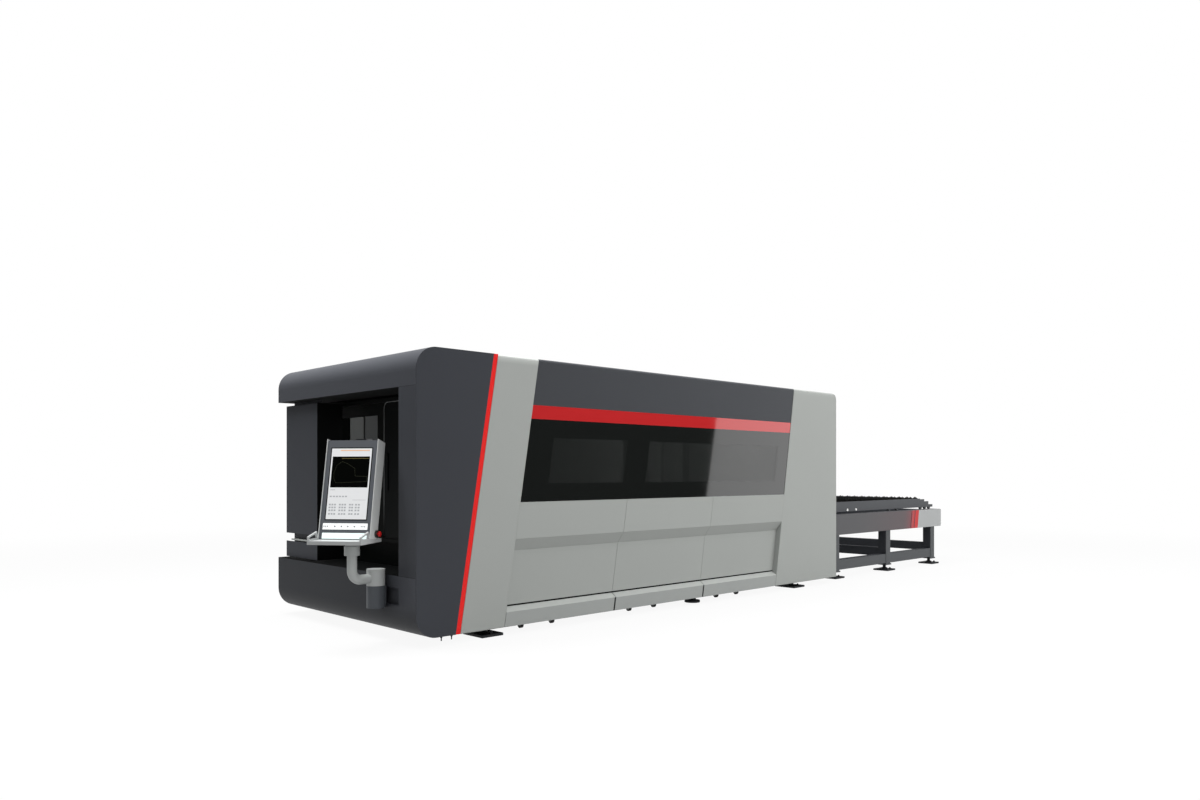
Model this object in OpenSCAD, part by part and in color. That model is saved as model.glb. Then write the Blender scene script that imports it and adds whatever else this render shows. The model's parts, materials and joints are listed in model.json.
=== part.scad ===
// Fiber laser cutting machine: a closed cabin with an open control nose, a moving gantry,
// three pull-out scrap carts, a swivelling operator panel and a two-level pallet changer.
// Millimetres, +Z up, floor at Z = 0, +X from the nose to the pallet changer.
// Modules are drawn from the cabin's near front corner, with z counted from the skin's
// bottom edge; at() moves them to the shared frame.

/* [Cabin] */
// Length of the cabin skin, from the nose front to the rear wall
body_l = 5585; // [5500:5:5700]
// Width over both side skins
body_w = 2250; // [2220:10:2320]
// Height of the skin, from its bottom edge to the roof edge
body_h = 2100; // [2060:10:2160]
// Gap between the skin's bottom edge and the floor
floor_gap = 65; // [60:1:80]
// Thickness of the flat wall panels
wall_t = 30; // [26:1:34]
// Thickness of folded sheet covers
skin_t = 6; // [4:1:8]
// Backward lean of the bands' edges, run per rise
lean = 0.167; // [0.14:0.001:0.19]
// Width of the uprights and roof bars
upright_w = 60; // [50:1:70]
// First upright's distance from the nose front
upright_x = 1040; // [1030:5:1045]
// Third upright's distance behind the rear band's front edge
upright_mid = 190; // [180:5:300]
// Last upright's distance from the rear wall
upright_end = 105; // [100:5:120]
// Radius of the rear roof edge
rear_r = 80; // [60:5:100]
// Radius of the roof's side edges
edge_r = 22; // [12:1:24]

/* [Nose] */
// Radius of the nose's top and bottom front edges
nose_r = 170; // [140:5:190]
// Depth of the nose's dark side at the bottom edge
nose_d = 338; // [325:1:348]
// Width of the bright edge strip beside the nose
strip_w = 42; // [38:1:56]
// Width of the light band behind the strip
band_w = 406; // [360:1:430]
// Width of the nose's front post
post_w = 234; // [215:1:250]
// Height of the hood above the recess
hood_h = 286; // [270:1:300]
// Height of the apron below the recess
apron_h = 440; // [425:1:445]
// Depth of the recess, from the nose front to the front wall
recess_d = 350; // [345:1:360]
// Height of the cable notch beside the arm post
notch_h = 121; // [100:1:130]

/* [Front door] */
// Distance of the access opening from the far side
access_far = 394; // [374:5:414]
// Width of the access opening
access_w = 716; // [680:1:730]
// Overlap of the shut door around the opening
door_lap = 36; // [28:1:40]
// Thickness of the door leaf
door_t = 28; // [22:1:30]
// Near edge of the door when it is open
door_y = 174; // [168:1:190]
// Height of the door's bottom edge
door_z = 662; // [655:1:670]
// Depth of the door tracks in front of the wall
track_d = 60; // [56:1:64]
// Play between the door and each track
door_play = 0.5; // [0.3:0.1:0.8]

/* [Front covers] */
// Distance of the fixed front covers from the far side
cover_far = 33; // [20:1:45]
// Width of the fixed front covers
cover_w = 591; // [570:1:600]
// Setback of the covers from the nose front
cover_x = 60; // [50:1:75]
// Gap between the upper cover and the hood
cover_gap = 31; // [25:1:40]
// Height of the lower cover
cover_low_h = 137; // [125:1:140]
// Height of the light rail in the slot between the covers
cover_rail_h = 23; // [15:1:30]

/* [Side wall] */
// Length of the rear band at the bottom
rear_l = 1200; // [1150:5:1250]
// Height of the glass's bottom edge
glass_z = 960; // [940:5:980]
// Height of the glass band
glass_h = 660; // [640:5:680]
// Height of the bright stripe over the glass
stripe_h = 109; // [90:1:120]
// Setback of glass, stripe and header from the bands
glass_set = 4; // [2:1:6]
// Bottom of the view panes above the glass's bottom edge
pane_z = 146; // [130:2:160]
// Height of the view panes
pane_h = 367; // [340:1:380]
// Front pane's front edge at its bottom
pane_1_x = 1050; // [1030:5:1080]
// Front pane's length
pane_1_l = 860; // [800:5:900]
// Rear pane's front edge at its bottom
pane_2_x = 2195; // [2160:5:2220]
// Distance between the rear pane and the rear band
pane_end = 190; // [150:5:290]
// Height of the fold where the side tucks inwards
fold_z = 675; // [660:5:690]
// Height that the fold's slope takes
fold_h = 94; // [80:1:100]
// Inward step of the lower panels
tuck = 55; // [50:1:60]
// Seam between neighbouring side panels
seam = 3; // [2:0.5:4]
// Play between the side panels and the bands
edge_play = 0.3; // [0.2:0.05:0.5]

/* [Scrap carts] */
// Height of the cart front's upright face
skirt_h = 113; // [108:1:120]
// Height at the top of the cart front's sloped lip
lip_z = 148; // [145:1:152]
// Gap between the cart fronts' lips and the panels above
lip_gap = 12; // [8:1:14]
// Gap between neighbouring cart fronts
cart_gap = 8; // [6:1:12]
// Thickness of the cart front
skirt_t = 12; // [8:1:14]
// Depth of the cart's bin
bin_d = 1700; // [1600:10:1780]
// Distance of the bin's ends from the cart front's ends
bin_in = 100; // [95:1:120]
// Wall thickness of the bin
bin_t = 5; // [4:1:6]
// Distance of the rear skids from the bin's ends
skid_in = 66; // [40:1:90]
// Width of the rear skids
skid_w = 60; // [50:1:70]
// Length of the rear skids
skid_l = 100; // [80:5:120]
// Distance of the rear skids from the bin's back
skid_back = 60; // [40:5:80]
// Diameter of the cart wheels
wheel_d = 50; // [46:1:52]
// Width of the cart wheels
wheel_w = 24; // [20:1:28]
// Distance between a cart's two wheels
wheel_gap = 330; // [300:5:360]
// Distance of the wheel axis behind the cart front
wheel_y = 185; // [170:5:200]
// Shift of each cart's wheels from its middle towards the nose
wheel_shift = [124, 65, 4]; // [0:1:140]
// Radial play of a wheel on its pin
wheel_play = 0.3; // [0.25:0.05:0.4]
// Width of the hold-down guides over the bin's rims
guide_w = 36; // [24:1:40]
// Length of the hold-down guides
guide_l = 120; // [80:5:140]
// Play between the floor and the carts' wheels and skids
floor_play = 0.3; // [0.2:0.05:0.4]
// Play between a bin's rim and its guides
guide_play = 0.3; // [0.2:0.05:0.5]

/* [Bed] */
// Width of each side beam of the bed
bed_w = 180; // [170:1:185]
// Bottom of the side beams
bed_z = 165; // [160:1:175]
// Top of the side beams
bed_top = 760; // [750:1:770]
// Plate thickness of the side beams
bed_t = 12; // [8:1:16]
// Width of the square legs
leg_w = 120; // [100:2:126]
// Front leg's distance from the nose front
leg_1_x = 700; // [690:5:710]
// Middle leg's distance behind the second cart
leg_mid = 20; // [10:1:24]
// Rear leg's distance from the rear wall
leg_end = 705; // [665:5:745]
// Length of an anchor plate along X
foot_x = 200; // [180:5:220]
// Length of an anchor plate along Y
foot_y = 250; // [230:5:270]
// Thickness of an anchor plate
foot_t = 20; // [16:1:24]
// Diameter of the anchor bolt holes
anchor_d = 18; // [14:1:22]
// Diameter of the round middle pads
pad_d = 150; // [130:5:160]
// Bottom of the legs, where the jack screws start
leg_z = 0; // [-5:1:10]
// Diameter of the jack screws
jack_d = 40; // [30:1:48]
// Width across the corners of the jack nuts
nut_d = 74; // [60:1:84]
// Height of the jack nuts
nut_h = 16; // [12:1:20]
// Width of the cross members
cross_w = 140; // [120:5:160]
// Bottom of the cross members
cross_z = 205; // [190:5:220]
// Height of the cross members
cross_h = 195; // [170:5:200]
// First cross member's distance from the nose front
cross_x = 480; // [450:5:500]
// Last cross member's distance from the rear wall
cross_end = 260; // [240:5:300]

/* [Gantry] */
// Parked gantry's distance from the nose front
gantry_x = 760; // [755:1:775]
// Width of the gantry beam
gantry_w = 220; // [200:2:230]
// Bottom of the gantry beam
gantry_z = 1010; // [1000:1:1030]
// Height of the gantry beam
gantry_h = 260; // [240:2:280]
// Half length of a gantry truck along X
truck_l = 210; // [190:2:220]
// Width of the long linear rails
rail_w = 34; // [28:1:38]
// Height of the long linear rails
rail_h = 28; // [24:1:32]
// Play between rails and what runs on them
rail_play = 0.3; // [0.2:0.05:0.4]
// Parked carriage's distance from the far side
carriage_far = 550; // [530:5:590]
// Width of the carriage
carriage_w = 320; // [300:4:340]
// Length of a drive's gearbox along X
drive_l = 140; // [120:5:160]
// Depth of a drive's gearbox
drive_w = 74; // [70:1:74]
// Height of a drive's gearbox
drive_h = 80; // [70:1:90]
// Height of a drive's motor
motor_h = 130; // [100:5:130]
// Thickness of the cross rails
cross_rail_t = 20; // [16:1:22]
// Height of the cross rails
cross_rail_h = 24; // [20:1:28]
// Distance of the cross rails from the beam's edges
cross_rail_in = 50; // [40:1:60]
// Thickness of the carriage and of the head's slide
slide_t = 60; // [50:1:64]
// Radius of the cutting head
head_r = 32; // [28:1:36]
// Height of the nozzle tip when raised
nozzle_z = 1005; // [1000:1:1015]

/* [Operator panel] */
// Arm post's distance in front of the nose
arm_x = 70; // [69:1:76]
// Arm post's distance from the near side
arm_y = 434; // [425:1:445]
// Diameter of the arm post and hub
arm_d = 134; // [120:1:136]
// Bottom of the arm post
arm_z = 196; // [185:1:205]
// Height of the fixed post
arm_post_h = 164; // [150:1:166]
// Height of the turning hub
hub_h = 122; // [110:1:130]
// Diameter of the arm tube
tube_d = 71; // [64:1:76]
// Distance from the hub's axis to the panel's axis
arm_l = 205; // [195:1:225]
// Bend radius of the arm tube
bend_r = 72; // [66:1:78]
// Yaw of the parked arm from straight ahead, in degrees
arm_yaw = 6; // [0:1:10]
// Bottom of the panel's coupling
coupling_z = 595; // [585:1:605]
// Diameter of the panel's coupling
coupling_d = 110; // [100:1:120]
// Yaw of the parked panel from straight ahead, in degrees
hmi_yaw = 37; // [32:1:42]
// Backward tilt of the panel, in degrees
hmi_tilt = 12; // [9:0.5:14]
// Width of the panel over its side plates
hmi_w = 392; // [380:1:400]
// Depth of the panel
hmi_d = 118; // [105:1:125]
// Height of the panel's top edge
hmi_top = 1425; // [1400:5:1450]
// Bottom of the panel's tray
tray_z = 692; // [685:1:700]
// Thickness of the panel's tray
tray_t = 26; // [20:1:30]
// Reach of the tray in front of the panel's axis
tray_f = 291; // [275:1:300]
// Reach of the tray behind the panel's axis
tray_b = 62; // [60:1:70]
// Width of the screen
screen_w = 304; // [290:1:315]
// Height of the screen along the panel
screen_h = 516; // [490:2:530]
// Diameter of the emergency stop's head
estop_d = 44; // [40:1:50]
// Travel of the emergency stop
estop_travel = 6; // [5:0.5:7]

/* [Pallet changer] */
// Length of the pallet changer behind the cabin
table_l = 3063; // [3040:1:3090]
// Setback of its side beams from the cabin's side
table_y = 190; // [184:1:196]
// Bottom of its side beams
table_z = 449; // [444:1:455]
// Height of its side beams
table_h = 238; // [232:1:244]
// Flange width of its side beams
table_f = 155; // [150:1:160]
// Plate thickness of its side beams
table_t = 12; // [10:1:14]
// Width of its square legs
table_leg = 110; // [100:1:120]
// First leg's distance behind the cabin
table_leg_x = 340; // [320:5:360]
// Pitch of its legs
table_pitch = 1245; // [1225:5:1255]
// Bottom of its legs, where the jack screws start
table_leg_z = 22; // [10:1:28]
// Bottom of the lower braces
brace_z = 30; // [20:1:40]
// Height of the lower braces
brace_h = 119; // [110:1:128]
// Bottom of the cross members between the legs
table_cross_z = 119; // [110:1:130]
// Height of the cross members between the legs
table_cross_h = 108; // [100:1:115]
// Thickness of the end stop beam
stop_t = 22; // [18:1:24]
// Length of the light end covers
cap_l = 650; // [620:5:680]
// Width of the bright stripes before the end covers
flash_w = 190; // [170:5:210]
// Thickness of end covers and stripes
cap_t = 6; // [4:1:7]
// Radius of the end covers' outer corners
cap_r = 20; // [12:1:26]

/* [Pallets] */
// Length of a pallet
pallet_l = 3340; // [3300:5:3340]
// Distance of the parked pallet's outer end from the changer's end
pallet_end = 8; // [6:1:20]
// Length of one step at a pallet's outer end
step_l = 125; // [115:1:130]
// Distance of a pallet's first slat from its inner end
slat_edge = 50; // [40:5:60]
// Length of the guide bars in front of the parked lower pallet
guide_end = 95; // [60:5:120]
// Travel of a pallet between table and cabin
pallet_travel = 3050; // [3040:1:3055]
// Thickness of a pallet's side rail
pallet_t = 12; // [10:1:14]
// Height of a pallet's side rail
pallet_h = 121; // [116:1:124]
// Diameter of the pallet wheels
pallet_wheel = 60; // [54:2:62]
// Width of the pallet wheels
pallet_wheel_w = 24; // [20:1:26]
// Height of the slat tips above the rail's top
slat_up = 25; // [22:1:30]
// Number of slats on a pallet
slat_n = 23; // [19:1:27]
// Thickness of a slat
slat_t = 6; // [4:1:8]
// Number of teeth on a slat
tooth_n = 14; // [12:1:16]
// Depth of the slats' teeth
tooth_h = 36; // [30:1:40]

/* [Hidden] */
$fn = 96;
far_y = body_w;
inner_y = body_w - wall_t;
hood_z = body_h - hood_h;
back_y = tuck + 35;
bed_in = back_y + bed_w;
band_x = nose_d + strip_w;
side_x = band_x + band_w;
rear_x = body_l - rear_l;
cart_pitch = (rear_x - side_x) / 3;
leg_2_x = side_x + 2 * cart_pitch + leg_mid;
leg_3_x = body_l - leg_end;
pane_2_l = rear_x - pane_end - pane_2_x;
stripe_z = glass_z + glass_h;
header_z = stripe_z + stripe_h;
fold_low = fold_z - fold_h;
wall_back = recess_d + wall_t;
access_y = body_w - access_far - access_w;
cover_y = body_w - cover_far - cover_w;
carriage_y = body_w - carriage_far;
door_w = access_w + 2 * door_lap - 8;
door_top = hood_z - 50;
door_x = recess_d - 20 - door_t - 1;
track_x = recess_d - track_d;
track_h = 29;
access_z = door_z - 22;
access_top = door_top - 95;
cover_top = hood_z - cover_gap;
cover_low_z = apron_h + 10;
cover_up_z = door_z - 4;
far_x = body_l + table_l;
foot_edge_y = 30;
foot_mid_y = foot_edge_y + foot_y / 2;
hole_y = foot_edge_y + 24;
leg_y = back_y + leg_w / 2;
rail_y = back_y + 70;
rack_y = back_y + 132;
rack_w = 25;
truck_y0 = back_y + 20;
truck_y1 = back_y + 120;
drive_z = bed_top + 30;
beam_x = gantry_x - gantry_w / 2;
carriage_x = beam_x - cross_rail_t - rail_play;
slide_x = carriage_x - slide_t - rail_play;
head_x = slide_x - slide_t - 50 + 2 * rail_play;
roof_top = body_h - 10;
roof_low = roof_top - wall_t;
upright_z = fold_z + 17;
axis_x = -arm_x - arm_l * cos(arm_yaw);
axis_y = arm_y - arm_l * sin(arm_yaw);
hub_z = arm_z + arm_post_h;
tube_z = hub_z + 54;
tray_top = tray_z + tray_t;
hmi_front = 142;
hmi_low = 675;
plate_t = 6;
hmi_len = (hmi_top - hmi_low) / cos(hmi_tilt);
screen_s = 190;
key_s = 116;
key_h = 45;
pad_s = 50;
pad_h = 42;
slat_in = 68;
table_top = table_z + table_h;
flange_y = table_y + table_f;
run_z = table_top;
low_run_z = table_z + table_t;
foot_top = foot_t - floor_gap;
tray_reach = tray_f * cos(hmi_yaw) + (hmi_w / 2 + 2) * sin(hmi_yaw);
x_low = axis_x - tray_reach;
x_high = far_x + cap_t;
x_mid = (x_low + x_high) / 2;
pallet_x = far_x - pallet_end - pallet_l;
low_pallet_x = pallet_x - pallet_travel - 20;
step_drop = [10, 40, 86];
wheel_at = [240, 0.635 * pallet_l, 0.70 * pallet_l];
up_y = table_y + 110;
low_y = flange_y + 5;
pallet_up = 27;
rim_z = skirt_h - 10;
function cart_x0(k) = side_x + k * cart_pitch + cart_gap / 2;
function cart_x1(k) = side_x + (k + 1) * cart_pitch - cart_gap / 2;

// Moves a piece drawn from the near front corner to the shared frame.
module at() {
  translate([-x_mid, -body_w / 2, floor_gap]) children();
}

// Keeps a piece and adds its mirror image on the far side.
module both_sides() {
  children();
  translate([0, body_w, 0]) mirror([0, 1, 0]) children();
}

// Box between two corners.
module box(x0, x1, y0, y1, z0, z1) {
  translate([x0, y0, z0]) cube([x1 - x0, y1 - y0, z1 - z0]);
}

// Stands an X-Z drawing up and gives it depth from y0 to y1.
module xz(y0, y1) {
  translate([0, y1, 0]) rotate([90, 0, 0]) linear_extrude(y1 - y0) children();
}

// Stands a Y-Z drawing up and gives it length from x0 to x1.
module yz(x0, x1) {
  translate([x0, 0, 0]) rotate([90, 0, 90]) linear_extrude(x1 - x0) children();
}

// Four-sided X-Z drawing whose ends lean back by the same slope.
module leaning(x0, x1, z0, z1) {
  polygon([[x0 + lean * z0, z0], [x1 + lean * z0, z0],
    [x1 + lean * z1, z1], [x0 + lean * z1, z1]]);
}

// Near side's slab with its outer top edge rounded, as a tool to cut panels to.
module side_slab(set) {
  yz(-50, body_l + 50) union() {
    translate([set, -50]) square([wall_t - set, body_h + 50 - edge_r]);
    translate([set + edge_r, -50]) square([wall_t - set - edge_r, body_h + 50]);
    translate([set + edge_r, body_h - edge_r]) circle(edge_r);
  }
}

// The nose's side outline without its leaning back edge, drawn in by i.
module nose_round(i) {
  translate([nose_r, i]) square([1000, body_h - 2 * i]);
  translate([i, nose_r]) square([1000, body_h - 2 * nose_r]);
  translate([nose_r, nose_r]) circle(nose_r - i);
  translate([nose_r, body_h - nose_r]) circle(nose_r - i);
}

// The nose's side outline between two heights.
module nose_side(z0, z1) {
  intersection() {
    nose_round(0);
    leaning(-2000, nose_d, z0, z1);
  }
}

// Side beams of the bed: welded box sections open at the ends.
module bed_beams() {
  color([0.27, 0.28, 0.30]) at() both_sides() difference() {
    box(400, body_l - 45, back_y, bed_in, bed_z, bed_top);
    box(399, body_l - 44, back_y + bed_t, bed_in - bed_t, bed_z + bed_t, bed_top - bed_t);
  }
}

// Legs under the side beams, cross members, and guides that hold the carts down.
module bed_supports() {
  color([0.25, 0.26, 0.28]) at() {
    both_sides() {
      for (x = [leg_1_x, leg_2_x, leg_3_x])
        box(x - leg_w / 2, x + leg_w / 2, back_y, back_y + leg_w, leg_z, bed_z);
    }
    for (k = [0:2], x = [cart_x0(k) + bin_in - 10, cart_x1(k) - bin_in + 10 - guide_w])
      box(x, x + guide_w, back_y + 20, back_y + 20 + guide_l, rim_z + guide_play, bed_z);
    for (x = [cross_x, side_x + cart_pitch, side_x + 2 * cart_pitch, body_l - cross_end])
      box(x, x + cross_w, bed_in, body_w - bed_in, cross_z, cross_z + cross_h);
  }
}

// Jack screw with its nut, standing on a foot and reaching up to a leg.
module jack(z0, z1) {
  translate([0, 0, z0]) cylinder(h = z1 - z0, d = jack_d);
  translate([0, 0, z0]) cylinder(h = nut_h, d = nut_d, $fn = 6);
}

// Anchor plates with one bolt hole each, round pads under the middle legs, and jack screws.
module machine_feet() {
  color([0.13, 0.14, 0.15]) at() both_sides() {
    for (x = [leg_1_x, leg_3_x]) {
      difference() {
        box(x - foot_x / 2, x + foot_x / 2, foot_edge_y, foot_edge_y + foot_y,
          -floor_gap, foot_top);
        translate([x, hole_y, -floor_gap - 1]) cylinder(h = foot_t + 2, d = anchor_d);
      }
      translate([x, leg_y, 0]) jack(foot_top, leg_z);
    }
    translate([leg_2_x, leg_y, 0]) {
      translate([0, 0, -floor_gap]) cylinder(h = foot_t, d = pad_d);
      jack(foot_top, leg_z);
    }
  }
}

// Long linear rails on top of the bed.
module x_rails() {
  color([0.66, 0.67, 0.68]) at() both_sides()
    box(430, body_l - 85, rail_y - rail_w / 2, rail_y + rail_w / 2,
      bed_top, bed_top + rail_h);
}

// Racks beside the long rails.
module x_racks() {
  color([0.55, 0.56, 0.57]) at() both_sides()
    box(430, body_l - 85, rack_y, rack_y + rack_w, bed_top, bed_top + 25);
}

// Bars inside the cabin that carry the two pallets at their levels.
module pallet_guide_rails() {
  color([0.40, 0.41, 0.42]) at() both_sides() {
    for (z = [run_z, low_run_z])
      box(low_pallet_x - guide_end, body_l, bed_in, flange_y, z - table_t, z);
  }
}

// Uprights behind the side panels and the roof's cross bars.
module cabin_frame() {
  color([0.22, 0.23, 0.24]) at() {
    for (x = [upright_x, pane_2_x - 10, rear_x + upright_mid, body_l - upright_end]) {
      both_sides() box(x, x + upright_w, wall_t, back_y, upright_z, roof_low);
      box(x, x + upright_w, back_y + edge_play, body_w - back_y - edge_play,
        roof_low - upright_w, roof_low);
    }
  }
}

// Hood over the recess: folded sheet with a rounded front edge, open at the back.
module nose_hood() {
  color([0.24, 0.25, 0.27]) at() difference() {
    xz(skin_t, far_y) nose_side(hood_z, body_h);
    xz(skin_t - 1, far_y - skin_t) union() {
      intersection() {
        nose_round(skin_t);
        translate([0, hood_z + skin_t]) square([2000, body_h]);
      }
      translate([recess_d, hood_z - 1]) square([1000, skin_t + 2]);
    }
  }
}

// Near side of the nose: one flat plate with the front post folded onto it.
module nose_cheek() {
  color([0.24, 0.25, 0.27]) at() {
    xz(0, skin_t) nose_side(0, body_h);
    box(0, skin_t, 0, post_w, apron_h, hood_z);
    box(0, track_x - 5, post_w - skin_t, post_w, apron_h, hood_z);
  }
}

// Apron below the recess, with the cable notch beside the arm post.
module nose_apron() {
  color([0.24, 0.25, 0.27]) at() difference() {
    xz(skin_t, far_y) nose_side(0, apron_h);
    xz(skin_t - 1, far_y - skin_t) union() {
      intersection() {
        nose_round(skin_t);
        translate([0, -10]) square([2000, apron_h + 10 - skin_t]);
      }
      translate([recess_d, apron_h - skin_t - 1]) square([1000, skin_t + 2]);
    }
    box(-1, skin_t + 1, post_w, arm_y - 26, arm_z + 30, arm_z + 30 + notch_h);
  }
}

// Black wall behind the recess, built of four panels around the access opening.
module front_wall() {
  color([0.03, 0.035, 0.035]) at() {
    box(recess_d, wall_back, wall_t, access_y - 0.5, 12, body_h - skin_t);
    box(recess_d, wall_back, access_y + access_w + 0.5, inner_y, 12, body_h - skin_t);
    box(recess_d, wall_back, access_y, access_y + access_w, 12, access_z);
    box(recess_d, wall_back, access_y, access_y + access_w, access_top, body_h - skin_t);
  }
}

// Two fixed covers at the far end of the recess, each with a folded return.
module front_covers() {
  color([0.23, 0.245, 0.26]) at() {
    box(cover_x, cover_x + skin_t, cover_y, cover_y + cover_w, cover_up_z, cover_top);
    box(cover_x, track_x, cover_y, cover_y + skin_t, cover_up_z, cover_top);
    box(cover_x, cover_x + skin_t, cover_y, cover_y + cover_w,
      cover_low_z, cover_low_z + cover_low_h);
    box(cover_x, recess_d, cover_y, cover_y + skin_t,
      cover_low_z, cover_low_z + cover_low_h);
  }
}

// Light rail in the slot between the two covers.
module front_cover_rail() {
  color([0.60, 0.61, 0.60]) at()
    box(cover_x + 1, cover_x + 40, cover_y + 14, cover_y + cover_w - 17,
      cover_low_z + cover_low_h, cover_low_z + cover_low_h + cover_rail_h);
}

// Tracks above and below the sliding front door.
module door_tracks() {
  color([0.05, 0.055, 0.06]) at() {
    box(track_x, recess_d, 100, access_y + access_w + 44,
      door_top + door_play, door_top + track_h);
    box(track_x, recess_d, 100, access_y + access_w + 44,
      door_z - track_h, door_z - door_play);
  }
}

// Sliding door leaf with rounded corners and a flat pull near its leading edge.
module front_door() {
  color([0.06, 0.065, 0.07]) at() {
    yz(door_x, door_x + door_t) union() {
      translate([door_y + 60, door_z]) square([door_w - 120, door_top - door_z]);
      translate([door_y, door_z + 60]) square([door_w, door_top - door_z - 120]);
      for (y = [door_y + 60, door_y + door_w - 60], z = [door_z + 60, door_top - 60])
        translate([y, z]) circle(60);
    }
    box(door_x - 8, door_x, door_y + door_w - 70, door_y + door_w - 40, 1050, 1350);
    box(door_x + door_t, recess_d - 0.5, door_y + 90, door_y + door_w - 90,
      door_top - 45, door_top);
    box(door_x + door_t, recess_d - 0.5, door_y + 90, door_y + door_w - 90,
      door_z, door_z + 20);
  }
}

// Bright strips along the nose's leaning back edge.
module red_edge_strips() {
  color([0.82, 0.06, 0.06]) at() both_sides()
    xz(2, 22) leaning(nose_d, band_x, 0, body_h);
}

// Light bands behind the strips, with a return that closes the lower step.
module front_bands() {
  color([0.60, 0.61, 0.60]) at() both_sides() {
    intersection() {
      xz(0, wall_t) leaning(band_x, side_x, 0, body_h);
      side_slab(0);
    }
    intersection() {
      xz(wall_t, back_y) leaning(side_x - 30, side_x, 0, fold_z);
      yz(0, body_l) step_section();
    }
  }
}

// One near-side panel between the bands, set back a little.
module glass_strip(z0, z1) {
  intersection() {
    xz(glass_set, wall_t) leaning(side_x + edge_play, rear_x - edge_play, z0, z1);
    side_slab(glass_set);
  }
}

// Dark header under the roof edge.
module side_header() {
  color([0.28, 0.285, 0.30]) at() glass_strip(header_z, body_h);
}

// Bright stripe over the glass.
module window_stripe() {
  color([0.73, 0.16, 0.17]) at() glass_strip(stripe_z, header_z);
}

// Outline of both view panes.
module pane_lines() {
  z0 = glass_z + pane_z;
  leaning(pane_1_x, pane_1_x + pane_1_l, z0, z0 + pane_h);
  leaning(pane_2_x, pane_2_x + pane_2_l, z0, z0 + pane_h);
}

// Black glass band with two openings for the view panes.
module window_surround() {
  color([0.05, 0.055, 0.055]) at() difference() {
    glass_strip(glass_z, stripe_z);
    xz(-1, wall_t + 1) pane_lines();
  }
}

// Tinted view panes.
module view_panes() {
  color([0.10, 0.11, 0.11, 0.6]) at() xz(glass_set, glass_set + 12) pane_lines();
}

// Section of the returns at both ends of the lower step, up to the underside of the fold.
module step_section() {
  polygon([[wall_t, 0], [back_y, 0], [back_y, fold_low], [tuck, fold_low],
    [wall_t, fold_low + fold_h * (1 - wall_t / tuck)]]);
}

// Section of the upper side panels: upright, then tucked inwards, then back to the bed.
module fold_section() {
  polygon([[0, glass_z], [0, fold_z], [tuck, fold_low], [back_y, fold_low],
    [back_y, fold_low + wall_t], [tuck + 17, fold_low + wall_t],
    [wall_t, fold_z + 8], [wall_t, glass_z]]);
}

// Upper side panels with the fold, one over each cart.
module upper_panels() {
  color([0.60, 0.61, 0.60]) at() for (k = [0:2]) intersection() {
    yz(0, body_l) fold_section();
    xz(-1, back_y + 1) leaning(side_x + k * cart_pitch + (k == 0 ? edge_play : seam / 2),
      side_x + (k + 1) * cart_pitch - (k == 2 ? edge_play : seam / 2), 0, body_h);
  }
}

// Lower side panels, tucked in below the fold.
module lower_panels() {
  color([0.60, 0.61, 0.60]) at() for (k = [0:2])
    xz(tuck, back_y) leaning(side_x + k * cart_pitch + (k == 0 ? edge_play : seam / 2),
      side_x + (k + 1) * cart_pitch - (k == 2 ? edge_play : seam / 2), lip_z + lip_gap, fold_low);
}

// Light rear bands with a rounded roof corner and a return for the lower step.
module rear_bands() {
  color([0.65, 0.66, 0.65]) at() both_sides() {
    intersection() {
      xz(0, wall_t) intersection() {
        leaning(rear_x, body_l * 2, 0, body_h);
        union() {
          square([body_l, body_h - rear_r]);
          square([body_l - rear_r, body_h]);
          translate([body_l - rear_r, body_h - rear_r]) circle(rear_r);
        }
      }
      side_slab(0);
    }
    intersection() {
      xz(wall_t, back_y) leaning(rear_x, rear_x + 30, 0, fold_z);
      yz(0, body_l) step_section();
    }
  }
}

// Rear wall of four panels around the pallet mouth; the top one rounds into the roof.
module rear_wall() {
  x0 = body_l - wall_t + 4;
  r1 = rear_r - wall_t + 4;
  cx = body_l - rear_r;
  cz = body_h - rear_r;
  color([0.60, 0.61, 0.60]) at() {
    xz(wall_t, inner_y) union() {
      translate([x0, glass_z]) square([body_l - x0, cz - glass_z]);
      intersection() {
        difference() {
          translate([cx, cz]) circle(rear_r);
          translate([cx, cz]) circle(r1);
        }
        translate([cx, cz]) square([rear_r, rear_r]);
      }
      translate([cx - 15, cz + r1]) square([15, rear_r - r1]);
    }
    box(x0, body_l, wall_t, bed_in - 4, 10, glass_z - 0.5);
    box(x0, body_l, body_w - bed_in + 4, inner_y, 10, glass_z - 0.5);
    box(x0, body_l, bed_in - 3.5, body_w - bed_in + 3.5, 10, table_z - 20);
  }
}

// Three roof panels between the side slabs.
module roof_panels() {
  x0 = nose_d + lean * body_h + 2;
  x1 = body_l - rear_r - 15;
  l = (x1 - x0) / 3;
  color([0.25, 0.26, 0.28]) at() for (k = [0:2])
    box(x0 + k * l, x0 + (k + 1) * l - (k == 2 ? 0 : seam), wall_t, inner_y,
      roof_low, roof_top);
}

// Plain far side between the bands, in three panels.
module far_wall() {
  color([0.60, 0.61, 0.60]) at() translate([0, body_w, 0]) mirror([0, 1, 0])
    for (k = [0:2]) intersection() {
      xz(0, wall_t) leaning(side_x + k * cart_pitch + (k == 0 ? edge_play : seam / 2),
        side_x + (k + 1) * cart_pitch - (k == 2 ? edge_play : seam / 2), 0, body_h);
      side_slab(0);
    }
}

// Gantry beam across the bed.
module gantry_beam() {
  color([0.45, 0.46, 0.47]) at() difference() {
    box(gantry_x - gantry_w / 2, gantry_x + gantry_w / 2, back_y + 10,
      body_w - back_y - 10, gantry_z, gantry_z + gantry_h);
    box(gantry_x - gantry_w / 2 + 14, gantry_x + gantry_w / 2 - 14, back_y + 9,
      body_w - back_y - 9, gantry_z + 14, gantry_z + gantry_h - 14);
  }
}

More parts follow.
